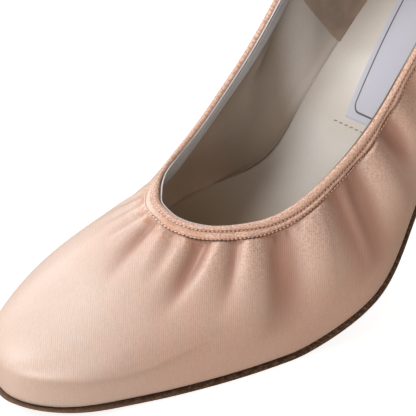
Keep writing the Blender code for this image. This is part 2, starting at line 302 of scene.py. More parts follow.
def meshPiece(name, points, faces, materials, faceMaterial=None, uv=None, values=None, sharpAngle=None):
    # quads only, with their faces turned outwards
    world = toWorld(points)
    if signedVolume(world, faces) < 0:
        faces = faces[:, ::-1]
        uv = None if uv is None else uv[:, ::-1]
    mesh = bpy.data.meshes.new(name)
    mesh.vertices.add(len(world))
    mesh.vertices.foreach_set("co", world.astype(np.float32).ravel())
    mesh.loops.add(faces.size)
    mesh.loops.foreach_set("vertex_index", faces.astype(np.int32).ravel())
    mesh.polygons.add(len(faces))
    mesh.polygons.foreach_set("loop_start", np.arange(0, faces.size, 4, dtype=np.int32))
    if uv is not None:
        mesh.uv_layers.new(name="cloth").data.foreach_set("uv", uv.astype(np.float32).ravel())
    for key, value in (values or {}).items():
        layer = mesh.attributes.new(key, "FLOAT", "POINT")
        layer.data.foreach_set("value", value.astype(np.float32).ravel())
    for material in materials:
        mesh.materials.append(material)
    if faceMaterial is not None:
        mesh.polygons.foreach_set("material_index", faceMaterial.astype(np.int32))
    mesh.update(calc_edges=True)
    mesh.validate()
    mesh.shade_smooth()
    if sharpAngle:
        mesh.set_sharp_from_angle(angle=math.radians(sharpAngle))
    return putInScene(name, mesh)


def gridFaces(rows, columns, wrapRows, wrapColumns):  # quads of a grid numbered row by row
    i = np.arange(rows if wrapRows else rows - 1)[:, None]
    j = np.arange(columns if wrapColumns else columns - 1)[None, :]
    i2, j2 = (i + 1) % rows, (j + 1) % columns
    corners = [i * columns + j, i * columns + j2, i2 * columns + j2, i2 * columns + j]
    return np.stack([np.broadcast_to(c, (i.size, j.size)) for c in corners], axis=-1).reshape(-1, 4)


def ringPiece(name, points, along, depth, material, values=None):
    # a closed ring round the shoe: points[place, step] wraps both ways
    places, steps = points.shape[:2]
    faces = gridFaces(places, steps, True, True)
    i = np.arange(places)[:, None]
    j = np.arange(steps)[None, :]
    nextAlong = np.append(along, along[0] - toplineRun[-1])
    corner = [(nextAlong[i], depth[i, j]), (nextAlong[i], depth[i, (j + 1) % steps]),
              (nextAlong[i + 1], depth[(i + 1) % places, (j + 1) % steps]),
              (nextAlong[i + 1], depth[(i + 1) % places, j])]
    uv = np.stack([np.stack(np.broadcast_arrays(*c), axis=-1) for c in corner], axis=2)
    return meshPiece(name, points, faces, [material], uv=uv.reshape(-1, 4, 2) * mm, values=values)


def wear(piece, slot, *nodes):  # its body and the CAD nodes it stands for; slot is not used
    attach(piece, "root")
    if nodes:
        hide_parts(*nodes)
    return piece


def closedSheet(name, front, back, material, slot, uv=None):
    # a thin closed solid from a front and a back grid
    rows, columns = front.shape[:2]
    top = gridFaces(rows, columns, False, False)
    count = rows * columns
    number = np.arange(count).reshape(rows, columns)
    rim = np.concatenate([number[0, :], number[1:, -1], number[-1, -2::-1], number[-2:0:-1, 0]])
    ahead = np.roll(rim, -1)
    sides = np.stack([ahead, rim, rim + count, ahead + count], axis=-1)
    faces = np.concatenate([top, top[:, ::-1] + count, sides])
    points = np.concatenate([front.reshape(-1, 3), back.reshape(-1, 3)])
    corners = None
    if uv is not None:
        flat = np.concatenate([uv.reshape(-1, 2), uv.reshape(-1, 2)])
        corners = flat[faces] * mm
    piece = meshPiece(name, points, faces, [material], uv=corners, sharpAngle=50)
    return wear(piece, slot)


def solidFromRings(name, rings, faces, materials, slot, node, faceMaterial=None, values=None):
    # joins the doubled points where rings close up, then fills what is still open
    piece = meshPiece(name, rings, faces, materials, faceMaterial, values=values)
    shape = bmesh.new()
    shape.from_mesh(piece.data)
    bmesh.ops.remove_doubles(shape, verts=shape.verts, dist=0.02 * mm)
    bmesh.ops.dissolve_degenerate(shape, edges=shape.edges, dist=0.01 * mm)
    rim = [edge for edge in shape.edges if edge.is_boundary]
    bmesh.ops.holes_fill(shape, edges=rim, sides=0)
    bmesh.ops.recalc_face_normals(shape, faces=shape.faces)
    shape.to_mesh(piece.data)
    shape.free()
    piece.data.shade_smooth()
    piece.data.set_sharp_from_angle(angle=math.radians(45))
    return wear(piece, slot, node)


class Wire:  # a socket that sums and products are written with
    def __init__(self, graph, socket):
        self.graph, self.socket = graph, socket

    def math(self, operation, *others):
        values = dict(enumerate((self, *others)))
        return self.graph.node("ShaderNodeMath", values, operation=operation)

    def __add__(self, other):
        return self.math("ADD", other)

    def __sub__(self, other):
        return self.math("SUBTRACT", other)

    def __mul__(self, other):
        return self.math("MULTIPLY", other)

    def __truediv__(self, other):
        return self.math("DIVIDE", other)

    def __neg__(self):
        return self.math("MULTIPLY", -1.0)

    def __rsub__(self, other):
        return (-self).math("ADD", other)

    __radd__ = __add__
    __rmul__ = __mul__

    def wave(self, pitch):  # -1 to 1, once each pitch
        return (self * (2 * math.pi / pitch)).math("SINE")

    def between(self, low, high, toLow=0.0, toHigh=1.0):
        values = {"Value": self, "From Min": low, "From Max": high, "To Min": toLow, "To Max": toHigh}
        return self.graph.node("ShaderNodeMapRange", values, interpolation_type="SMOOTHSTEP")

    def past(self, span):  # 0 before a span that is given in mm, and 1 beyond it
        return self.between(*(end * mm for end in span))


class Graph:  # adds nodes to one tree
    def __init__(self, tree):
        self.tree = tree

    def put(self, socket, value):
        if isinstance(value, Wire):
            self.tree.links.new(value.socket, socket)
        else:
            socket.default_value = value

    def node(self, kind, values=None, output=0, **settings):
        made = self.tree.nodes.new(kind)
        for name, value in settings.items():
            setattr(made, name, value)
        for key, value in (values or {}).items():
            self.put(made.inputs[key], value)
        return Wire(self, made.outputs[output])

    def split(self, vector):
        node = self.node("ShaderNodeSeparateXYZ", {0: vector}).socket.node
        return [Wire(self, socket) for socket in node.outputs]

    def join(self, x, y, z):
        return self.node("ShaderNodeCombineXYZ", {0: x, 1: y, 2: z})

    def objectPlace(self):
        return self.node("ShaderNodeTexCoord", output="Object")

    def shoePlace(self):  # mm ahead of the heel's back, out from the heel's middle, and up
        x, y, z = self.split(self.objectPlace())
        return x / mm - heelBackX, y / mm - heelMiddleY, z / mm

    def cloth(self):  # along the topline and below it
        return self.split(self.node("ShaderNodeUVMap", uv_map="cloth"))[:2]

    def attribute(self, name):
        return self.node("ShaderNodeAttribute", output="Fac", attribute_name=name)

    def noise(self, vector, size, detail=2.0, roughness=0.5):  # size in mm
        values = {"Vector": vector, "Scale": 1.0 / (size * mm), "Detail": detail, "Roughness": roughness}
        return self.node("ShaderNodeTexNoise", values)

    def cloudy(self, vector, detail):  # noise in a space of its own
        return self.node("ShaderNodeTexNoise", {"Vector": vector, "Scale": 1.0, "Detail": detail})

    def times(self, vector, other):
        return self.node("ShaderNodeVectorMath", {0: vector, 1: other}, operation="MULTIPLY")

    def shade(self, tint, light):  # a colour times a number
        return self.times(tint, self.join(light, light, light))

    def mix(self, share, low, high):
        low, high = [(*c, 1.0) if isinstance(c, tuple) else c for c in (low, high)]
        return self.node("ShaderNodeMix", {"Factor": share, 6: low, 7: high}, output=2, data_type="RGBA")

    def bump(self, height, distance):  # distance in mm
        return self.node("ShaderNodeBump", {"Height": height, "Distance": distance * mm})


socketNames = {
    "colour": "Base Color", "roughness": "Roughness", "normal": "Normal", "sheen": "Sheen Weight",
    "sheenRoughness": "Sheen Roughness", "sheenTint": "Sheen Tint", "specular": "Specular IOR Level",
    "coat": "Coat Weight", "coatRoughness": "Coat Roughness", "glow": "Emission Color",
    "glowStrength": "Emission Strength",
}


def makeMaterial(name, build, **constants):
    # build returns what varies over the surface; constants go straight onto the shader's own sockets
    material = bpy.data.materials.new(name)
    material.use_nodes = True
    graph = Graph(material.node_tree)
    shader = material.node_tree.nodes["Principled BSDF"]
    for key, value in constants.items():
        shader.inputs[socketNames[key]].default_value = value
    for key, value in build(graph).items():
        graph.put(shader.inputs[socketNames[key]], value)
    return material


satin = {
    # deep is painted shade, for troughs, the heel's seam and under the band
    "pale": (0.785, 0.63, 0.545), "pink": (0.72, 0.49, 0.395), "deep": (0.40, 0.195, 0.14),
    "speck": (0.44, 0.24, 0.17),
    "paintedLight": (0.90, 0.73, 0.645),  # painted light: the palest tint, on the lit inner side and beside the throat
    "open": (0.70, 0.37, 0.23),  # the orange ground that shows where gathers pull the weave open
    # where the painted light and shade come in: pink for the outer side's shade, the palest tint for the
    # lit inner side, a paler toe for its highlight; mm out from the middle line, and mm ahead of the
    # heel's back
    "shadedPinkSide": (-6.0, 30.0), "litPaleSide": (-26.0, -9.0), "litToe": (204.0, 228.0),
    # and by the throat: mm along the topline, and mm below it
    "paintedLightFrom": (-32.0, -22.0), "paintedLightTo": (-5.0, 2.0), "paintedLightDepth": (6.5, 13.0),
    "blushFrom": (-16.0, -5.0), "blushTo": (14.0, 30.0), "blushDepth": (18.0, 36.0),
    "openAlong": -3.0, "openReach": (9.0, 24.0), "openDepth": (6.2, 11.5), "openGrain": 1.5,
    # how much of each shows, and how much of the pink the toe lacks under its painted highlight
    "shadedPinkShare": 0.8, "litPaleShare": 0.6, "paintedLightShare": 0.7, "blushShare": 0.75, "openShare": 0.9,
    "litToeShare": 0.6,
    "paintedShadeShare": 0.9, "paintedShadeFrom": -0.1, "paintedShadeTo": 1.9,  # painted shade: mm that the cloth lies sunk where it is painted darker, in troughs, at the heel's seam and by the band
    "drift": 38.0, "driftShare": 0.2,  # mm over which the tint wanders
    "rib": 0.62, "ribWander": 0.5, "ribTint": 0.06, "ribHeight": 0.4,
    "ribFade": (9.0, 16.0),  # mm over the floor where the fine ribs come in
    "fibre": 0.2, "fibreLength": 2.6, "fibreTint": 0.14, "relief": 0.02, "dull": (0.42, 0.54),
    # specks: their size, how strongly they show, where they fade below the topline and by how much,
    # and what is left of them on the inner side and on the heel
    "crepe": 0.55, "crepeTint": 0.6, "crepeDepth": (7.0, 24.0), "crepeFades": 0.7, "crepeInner": 0.5,
    "crepeHeel": 0.3,
}
binding = {
    "light": (0.87, 0.62, 0.50), "shade": (0.54, 0.30, 0.215), "groove": (0.22, 0.09, 0.052),
    "grain": 0.6, "grainSquash": 0.7, "relief": 0.16,
    "lowerHalf": (2.4, 3.6), "openFrom": (-1.0, 5.0), "paintedLightShare": 0.8,
    # painted shade in the stitched grooves: where the outer side's heavier shade comes in, how dark it is
    # on the inner side and how much darker on the outer
    "outerSide": (-3.0, 14.0), "grooveInner": 0.1, "grooveOuter": 0.85,
    # a painted toothed line of shade where the satin goes in under the band, on the outer side: mm below
    # the row, and its soft edge
    "lineBelow": 0.2, "lineEdge": (0.15, 0.55), "lineShare": 0.7, "lineTooth": 0.25,
}
inside = {
    "cloth": (0.44, 0.40, 0.365), "deep": (0.41, 0.37, 0.33),
    # mm ahead of the heel's back where each further tint comes in: painted light and shade along the
    # inside, the lining's lit and shaded bands, the tape's lit stretch, and the sock's shade and warm
    # bounce towards the toe
    "clothAhead": ((92.0, 103.0, (0.53, 0.485, 0.445)), (104.0, 114.0, (0.335, 0.275, 0.22)),
                   (125.0, 143.0, (0.56, 0.45, 0.37)), (144.0, 160.0, (0.65, 0.52, 0.43))),
    "tapeAhead": ((100.0, 132.0, (0.52, 0.52, 0.53)),),
    "sockAhead": ((118.0, 158.0, (0.51, 0.41, 0.29)),),
    "drift": 25.0, "footLight": 0.22,
    # painted shade under the topline: mm below it, how far ahead, and by how much
    "rimDepth": (20.0, 44.0), "rimUntil": (118.0, 130.0), "rim": 0.17,
    # painted shade along the line where it meets the sock, faint at the back and darker from here on
    "seam": (0.16, 0.11, 0.075), "jointShadeFrom": (122.0, 138.0), "jointShadeFaint": 0.1, "jointShadeDarker": 0.5,
    "sock": (0.78, 0.745, 0.705), "sockShade": (0.69, 0.64, 0.585),
    "tape": (0.28, 0.265, 0.26), "piping": (0.76, 0.74, 0.78), "grip": (0.36, 0.28, 0.22),
    "gripShade": 0.8,
}
leather = {
    "edge": (0.06, 0.033, 0.018), "edgeLight": (0.20, 0.12, 0.075), "layer": 3.0, "flatten": 14.0,
    "spot": 0.8, "edgeRelief": 0.1,
    "edgeToe": (0.30, 0.19, 0.13), "edgeToeFrom": (195.0, 240.0), "edgeToeShare": 0.45,
    "nap": (0.25, 0.18, 0.135), "napShade": (0.21, 0.15, 0.11), "patch": 9.0,
    "tip": (0.035, 0.028, 0.025),
}


def satinLook(byBand):  # byBand for the upper's satin, which the band round its topline gathers
    def build(g):
        place = g.objectPlace()
        x, y, z = g.split(place)
        across = g.attribute("thread")
        slant = (y + x) * math.sqrt(0.5)
        fine = 1 / (satin["fibre"] * mm)
        coarse = 1 / (satin["fibreLength"] * mm)
        threads = g.cloudy(g.join(across * fine, slant * coarse, z * coarse), 2.0)
        wander = g.cloudy(g.join(across * (fine / 9), slant * (coarse / 6), z * (coarse / 6)), 1.0)
        lines = (across + wander * (satin["ribWander"] * mm)).wave(satin["rib"] * mm)
        lines = lines * z.past(satin["ribFade"])
        drift = g.noise(place, satin["drift"], detail=1.0).between(0.35, 0.65)
        ahead, out = g.shoePlace()[:2]
        # painted highlight: the toe loses its pink; painted shade: the outer side turns pinker
        toeHighlight = ahead.between(*satin["litToe"]) * satin["litToeShare"]
        side = out.between(*satin["shadedPinkSide"]) * (1.0 - toeHighlight)
        pinker = side * satin["shadedPinkShare"] + drift * satin["driftShare"]
        tint = g.mix(pinker, satin["pale"], satin["pink"])
        # painted light: the inner side, which faces the lamps, takes the palest tint
        far = satin["litPaleShare"] - out.between(*satin["litPaleSide"]) * satin["litPaleShare"]
        tint = g.mix(far, tint, satin["paintedLight"])
        crepe = g.noise(place, satin["crepe"], detail=2.0, roughness=0.7).between(0.44, 0.60)
        if byBand:
            tint = gatheredAndShaded(g, tint, crepe, side)
        else:
            tint = g.mix(crepe * (satin["crepeTint"] * satin["crepeHeel"]), tint, satin["speck"])
        light = 1.0 + lines * satin["ribTint"] + (threads - 0.5) * (2 * satin["fibreTint"])
        return {
            "colour": g.shade(tint, light),
            "roughness": threads.between(0.3, 0.7, *satin["dull"]),
            "normal": g.bump(lines * satin["ribHeight"] + threads, satin["relief"]),
        }

    return build


def gatheredAndShaded(g, tint, crepe, side):  # the satin's tints by the throat and the band: a pink blush, painted light beside the throat, the open weave's orange, painted shade where the cloth lies sunk, specks, and a painted line of shade under the band
    along, depth = g.cloth()
    rough = 1.0 - depth.past(satin["crepeDepth"]) * satin["crepeFades"]
    blush = along.past(satin["blushFrom"])
    blush = blush * (1.0 - along.past(satin["blushTo"]))
    blush = blush * (1.0 - depth.past(satin["blushDepth"]))
    tint = g.mix(blush * satin["blushShare"], tint, satin["pink"])
    # painted light beside the throat
    tint = g.mix(paintedLight(g) * satin["paintedLightShare"], tint, satin["paintedLight"])
    tint = g.mix(openWeave(g), tint, satin["open"])
    # painted shade where the cloth lies sunk
    sunken = (-g.attribute("paintedShade")).between(satin["paintedShadeFrom"], satin["paintedShadeTo"])
    tint = g.mix(sunken * satin["paintedShadeShare"], tint, satin["deep"])
    inner = satin["crepeInner"]
    specks = crepe * rough * (satin["crepeTint"] * (inner + side * (1 - inner)))
    tint = g.mix(specks, tint, satin["speck"])
    # a painted line of shade below the second row, on the outer side
    off = (depth - (upper["rowTwo"] + binding["lineBelow"]) * mm).math("ABSOLUTE")
    line = (1.0 - off.past(binding["lineEdge"])) * along.past(binding["outerSide"])
    tooth = binding["lineShare"] + along.wave(stitches["pitch"] * mm) * binding["lineTooth"]
    return g.mix(line * tooth, tint, binding["groove"])


def openWeave(g):  # speckled, by the band round the throat
    along, depth = g.cloth()
    near = (along - satin["openAlong"] * mm).math("ABSOLUTE")
    place = (1.0 - near.past(satin["openReach"])) * (1.0 - depth.past(satin["openDepth"]))
    grain = g.noise(g.objectPlace(), satin["openGrain"], detail=2.0, roughness=0.6).between(0.36, 0.62)
    return place * grain * satin["openShare"]


def paintedLight(g):  # painted light beside the throat, on the inner side
    along, depth = g.cloth()
    place = along.past(satin["paintedLightFrom"]) * (1.0 - along.past(satin["paintedLightTo"]))
    return place * (1.0 - depth.past(satin["paintedLightDepth"]))


def bindingLook(g):
    along, depth = g.cloth()
    grain = binding["grain"] * mm
    speckle = g.cloudy(g.join(along / grain, depth / (grain * binding["grainSquash"]), 0.0), 2.0)
    tint = g.mix(speckle.between(0.32, 0.68), binding["shade"], binding["light"])
    lower = depth.past(binding["lowerHalf"])
    tint = g.mix(openWeave(g) * lower * along.past(binding["openFrom"]), tint, satin["open"])
    # painted light on the band's lower half beside the throat
    tint = g.mix(paintedLight(g) * lower * binding["paintedLightShare"], tint, satin["paintedLight"])
    # painted shade in the stitched grooves, heavier on the outer side
    dark = binding["grooveInner"] + along.past(binding["outerSide"]) * binding["grooveOuter"]
    tint = g.mix(g.attribute("paintedShade").between(0.2, 1.0) * dark, tint, binding["groove"])
    return {"colour": tint, "normal": g.bump(speckle, binding["relief"])}


def clothLook(colour, shade, weave, grain=0.12, relief=0.05, ahead=(), rim=0.0):
    # a plain fabric or smooth leather, the painted light and shade it takes further ahead of the heel,
    # how much painted shade it has under the topline, its painted shade line at the sock and painted
    # light on its foot
    def build(g):
        place = g.objectPlace()
        x = g.shoePlace()[0]
        spots = g.noise(place, weave, detail=3.0)
        drift = g.noise(place, inside["drift"], detail=1.0).between(0.35, 0.65)
        tint = g.mix(drift, colour, shade)
        for low, high, further in ahead:
            tint = g.mix(x.between(low, high), tint, further)
        # painted shade along the line where the lining meets the sock
        dark = inside["jointShadeFaint"] + x.between(*inside["jointShadeFrom"]) * inside["jointShadeDarker"]
        tint = g.mix(g.attribute("paintedShade").between(0.1, 0.9) * dark, tint, inside["seam"])
        # footLight adds painted light on the lining's foot
        light = 1.0 + (spots - 0.5) * grain * 2 + g.attribute("foot") * inside["footLight"]
        # painted shade under the topline, towards the back
        if rim:
            under = 1.0 - g.cloth()[1].past(inside["rimDepth"])
            light = light - under * (1.0 - x.between(*inside["rimUntil"])) * rim
        return {"colour": g.shade(tint, light), "normal": g.bump(spots, relief)}

    return build


def suedeLook(colour, shade, nap=0.35, relief=0.12):
    def build(g):
        place = g.objectPlace()
        fine = g.noise(place, nap, detail=3.0, roughness=0.65)
        patches = g.noise(place, leather["patch"], detail=2.0).between(0.38, 0.62)
        tint = g.mix(patches, colour, shade)
        return {"colour": g.shade(tint, 0.75 + fine * 0.5), "normal": g.bump(fine, relief)}

    return build


def labelLook(g):  # woven cloth with one thin line round it, its corners rounded
    along, across = g.cloth()
    pitch = labelPatch["thread"] * mm
    threads = across.wave(pitch) * along.wave(pitch * labelPatch["threadAlong"])
    corner = labelPatch["corner"]
    beyond = []
    for place, side in ((along, "length"), (across, "width")):
        straight = labelPatch[side] / 2 - labelPatch["border"] - corner
        beyond.append((place.math("ABSOLUTE") - straight * mm).math("MAXIMUM", 0.0))
    reach = (beyond[0] * beyond[0] + beyond[1] * beyond[1]).math("SQRT") - corner * mm
    line = 1.0 - reach.math("ABSOLUTE").past(labelPatch["lineEdge"])
    cloth = g.shade(labelPatch["cloth"], 1.0 + threads * labelPatch["threadTint"])
    return {
        "colour": g.mix(line, cloth, labelPatch["ink"]),
        "normal": g.bump(threads, labelPatch["relief"]),
    }


def edgeLook(g):  # the layers of the sole's cut edge, paler towards the toe
    place = g.objectPlace()
    flat = g.times(place, (1.0, 1.0, leather["flatten"]))
    layers = g.noise(flat, leather["layer"], detail=3.0, roughness=0.7)
    spots = g.noise(place, leather["spot"], detail=2.0)
    worn = (layers * 0.6 + spots * 0.4).between(0.42, 0.66)
    tint = g.mix(worn, leather["edge"], leather["edgeLight"])
    toe = g.shoePlace()[0].between(*leather["edgeToeFrom"]) * leather["edgeToeShare"]
    tint = g.mix(toe, tint, leather["edgeToe"])
    return {"colour": tint, "normal": g.bump(layers + spots, leather["edgeRelief"])}


def threadLook(inner, outer):  # one tint on the inner side and one on the outer: the thread painted lit and shaded
    def build(g):
        strands = g.noise(g.objectPlace(), 0.25, detail=1.0)
        tint = g.mix(g.shoePlace()[1].between(*stitches["outerFrom"]), inner, outer)
        return {"colour": g.shade(tint, 0.8 + strands * 0.4)}

    return build


upper = {
    "places": 980, "steps": 74, "stepPower": 1.15, "backSteps": 18, "thickness": 0.55,
    "rowOne": 2.4, "rowTwo": 5.1,  # mm from the topline's edge down to each row of stitches
    # the satin's rim under the band: mm below the second row, its height over the skin, and how both
    # change where the satin lies flush with the band, on the inner side; then where it comes out
    "rim": 0.1, "rimLift": -0.5, "flushRise": 0.6, "flushLift": 0.3, "flushTo": (-3.0, 12.0),
    "begin": 0.5,
    "bandShade": 1.5, "bandShadeReach": 0.9,  # painted shade on the satin where it is drawn in under the band
    "seamWidth": 0.45, "seamDepth": 0.35, "seamShade": 2.0,  # the seam at the back of the heel, and how much painted shade its hollow gets
    "edgeTuck": 0.55, "edgeRound": 1.4,  # how the satin turns in where it meets the sole
    "edgeDrop": 1.45, "edgeDropFrom": (54.0, 90.0), "toeDrop": 0.6, "toeDropFrom": (224.0, 243.0),
    "edgeDropReach": 9.0,  # how far it runs down the sole's edge
    "threadTurn": 4,  # how suddenly the threads turn down where a wall lies along them
    # the ridge round the toe where the lasted edge turns over: station and height over the feather line
    "ridge": ((197.0, 17.0), (212.0, 13.0), (226.0, 11.8), (245.0, 9.8)),
    "ridgeHeight": 1.5, "ridgeAbove": 11.0, "ridgeBelow": 2.2, "ridgeRound": 0.7,
    "ridgeFade": (188.0, 216.0),
}

# Folds that run down from the topline: where each leaves it (mm along the topline from the throat, + on
# the outer side), how far it has moved along at its end, where it starts and how long it is, its half
# width towards the inner side and towards the heel, how many times wider it is at its end, and its
# height: troughs are below zero and ridges above.
foldColumns = ("along", "shift", "start", "length", "before", "after", "opens", "height")
folds = (
    (13.7, -4.8, 4.6, 32.0, 3.6, 2.7, 1.5, -2.60),
    (17.4, -4.2, 4.6, 28.0, 3.2, 2.6, 1.6, 0.60),
    (22.4, -4.0, 4.6, 28.0, 3.0, 1.7, 1.7, -1.75),
    (25.6, -3.0, 4.6, 30.0, 2.2, 3.2, 1.6, 0.60),
    (33.9, -6.0, 4.6, 46.0, 4.6, 5.8, 1.9, -2.25),
    (48.0, -7.0, 4.8, 44.0, 6.6, 4.4, 1.5, 1.15),
    (55.6, 1.0, 5.0, 46.0, 6.2, 2.6, 1.4, -1.70),
    (62.6, 0.6, 4.6, 52.0, 4.0, 5.6, 1.6, -2.15),
    (72.5, 14.0, 5.0, 48.0, 5.4, 4.8, 1.4, 1.75),
    (80.6, 13.0, 4.0, 34.0, 5.6, 3.4, 1.4, -2.45),
    (86.6, 16.0, 4.2, 28.0, 3.2, 4.0, 1.4, 1.15),
    (95.0, 12.0, 4.4, 28.0, 4.0, 3.4, 1.4, -1.00),
    (112.0, 6.0, 5.0, 24.0, 4.0, 4.0, 1.5, -0.50),
    (-0.4, 1.8, 4.6, 31.0, 2.6, 1.8, 1.7, -1.65),
    (2.8, 1.2, 5.2, 22.0, 1.4, 1.8, 1.6, 0.40),
    (5.6, -0.4, 4.6, 22.0, 1.9, 1.5, 1.7, -0.85),
    (9.0, -2.6, 4.8, 22.0, 1.8, 1.9, 1.6, 0.45),
    (-4.2, -0.4, 4.6, 22.0, 1.6, 1.4, 1.6, -0.75),
    (-2.0, 0.2, 4.8, 22.0, 1.4, 1.7, 1.7, 0.35),
    (-8.6, -1.6, 4.0, 22.0, 2.2, 1.6, 1.7, -0.50),
    (-13.6, -2.6, 4.0, 24.0, 2.4, 2.0, 1.9, -0.60),
    (-17.4, -3.0, 4.4, 24.0, 2.0, 2.4, 1.9, 0.40),
    (-23.0, -3.4, 4.6, 28.0, 2.8, 2.0, 1.9, -0.80),
    (-34.0, -1.0, 4.8, 30.0, 3.2, 2.6, 1.9, -0.80),
    (-44.0, 1.0, 5.0, 28.0, 3.4, 3.4, 1.8, 0.45),
    (-53.0, 2.0, 6.0, 30.0, 3.4, 3.0, 1.8, -0.70),
    (-66.0, 4.0, 6.0, 30.0, 4.0, 4.0, 1.7, -0.55),
    (-82.0, 6.0, 5.0, 28.0, 4.2, 3.6, 1.7, -0.50),
    (-100.0, 4.0, 5.0, 24.0, 4.4, 4.4, 1.6, -0.35),
)


foldEnds = {
    "comesIn": (-0.6, 1.5),  # mm round its start
    "fades": (0.15, 1.0),  # shares of its length
    "clear": (12.0, 3.0),  # mm over the sole's edge where whatever is left of all of them runs out
}


def foldLift(along, depth, spread):
    # spread is how many mm of cloth there are for each mm of topline
    lift = np.zeros_like(depth)
    for row in folds:
        fold = dict(zip(foldColumns, row))
        run = np.clip((depth - fold["start"]) / fold["length"], 0.0, 1.0)
        aside = folded(along - fold["along"] - fold["shift"] * run) * spread
        width = np.where(aside < 0, fold["before"], fold["after"]) * (1 + (fold["opens"] - 1) * run)
        comesIn = smooth(depth, *(fold["start"] + way for way in foldEnds["comesIn"]))
        fade = comesIn * (1 - smooth(run, *foldEnds["fades"]))
        lift += fold["height"] * np.exp(-((aside / width) ** 2)) * fade
    return lift


def ridgeLift(x, fromFeather):
    # a soft-edged ridge: it rises gently from above and drops quickly to the wall below it
    station, height = np.array(upper["ridge"]).T
    above = fromFeather - np.interp(x, station, height)
    reach = np.where(above > 0, upper["ridgeAbove"], upper["ridgeBelow"])
    blunt = np.sqrt(above**2 + upper["ridgeRound"] ** 2) - upper["ridgeRound"]
    return upper["ridgeHeight"] * np.exp(-blunt / reach) * smooth(x, *upper["ridgeFade"])


puckers = {  # small gathers drawn up by the topline's elastic
    "pitch": 1.3, "jitter": 0.9, "height": 0.24, "seed": 11,
    "width": (0.45, 0.95), "opens": 0.08,  # and how much wider it is for each mm down
    "length": 4.0, "lengthShare": (0.6, 1.7), "lean": 0.12,
    "from": (0.1, 1.6), "fadeFrom": 1.2,  # mm below the second row of stitches
    "least": 0.4, "more": 0.6, "strongest": 5, "strongTo": 50,  # strongest round the throat
    "near": 8.0,  # mm to either side that one of them reaches
}


def puckerLift(along, depth, spread):
    rng = np.random.default_rng(puckers["seed"])
    lift = np.zeros_like(depth)
    half = toplineRun[-1] / 2
    for centre in np.arange(-half, half, puckers["pitch"]):
        centre += rng.uniform(-puckers["jitter"], puckers["jitter"])
        width = rng.uniform(*puckers["width"])
        length = puckers["length"] * rng.uniform(*puckers["lengthShare"])
        byThroat = math.exp(-((centre - puckers["strongest"]) / puckers["strongTo"]) ** 2)
        strength = puckers["least"] + puckers["more"] * byThroat
        height = puckers["height"] * rng.uniform(-1.0, 1.0) * strength
        lean = rng.uniform(-puckers["lean"], puckers["lean"])
        near = np.abs(folded(along[:, 0] - centre)) < puckers["near"]
        past = depth[near] - upper["rowTwo"]
        width = width + puckers["opens"] * np.maximum(past, 0)
        aside = folded(along[near] - centre - lean * past) * spread[near] / width
        fade = smooth(past, *puckers["from"]) * (1 - smooth(past, puckers["fadeFrom"], length))
        lift[near] += height * np.exp(-aside**2) * fade
    return lift


def clothSpread(at, depth, skin):
    v = skin.share(depth)
    full = np.broadcast_to(at[:, None], v.shape)
    ahead, behind = full + skin.aside, full - skin.aside
    here = np.linalg.norm(skinPoint(ahead, v) - skinPoint(behind, v), axis=-1)
    top = np.ones_like(v)
    return here / np.linalg.norm(skinPoint(ahead, top) - skinPoint(behind, top), axis=-1)


def clothLift(at, along, depth, skin):  # everything that raises or lowers the satin
    spread = clothSpread(at, depth, skin)
    lift = foldLift(along, depth, spread) + puckerLift(along, depth, spread)
    lift *= 1 - smooth(depth, *(skin.full[:, None] - clear for clear in foldEnds["clear"]))
    return lift + ridgeLift(ribCurve(at % around)[:, :1], skin.full[:, None] - depth)


def edgeDrop(x):  # the forepart's sole is pared thin along its edge, and the satin runs down to meet it
    drop = upper["edgeDrop"] * smooth(x, *upper["edgeDropFrom"])
    return drop + upper["toeDrop"] * smooth(x, *upper["toeDropFrom"])


def threadPlace(points, top, out, fall):
    # mm across the threads, which run slantwise over the vamp and turn down with the cloth where a wall
    # lies along them; fall is how far the cloth has run down from top
    bias = np.array([-1.0, 1.0]) * math.sqrt(0.5)
    facing = -(out @ bias)[:, None]
    reach = ((points - top)[..., :2] * out[:, None, :]).sum(axis=-1)
    return points[..., :2] @ bias - facing * np.abs(facing) ** upper["threadTurn"] * (fall - reach)


def backOf(steps, count, power=1.5):  # which of a wall's steps its hidden face keeps, most at the top
    return (np.linspace(1.0, 0.0, count) ** power * (steps - 1)).round().astype(int)


def withBack(grid, columns):  # a wall's face, and behind it the steps that its hidden face keeps
    return np.concatenate([grid, grid[:, columns]], axis=1)


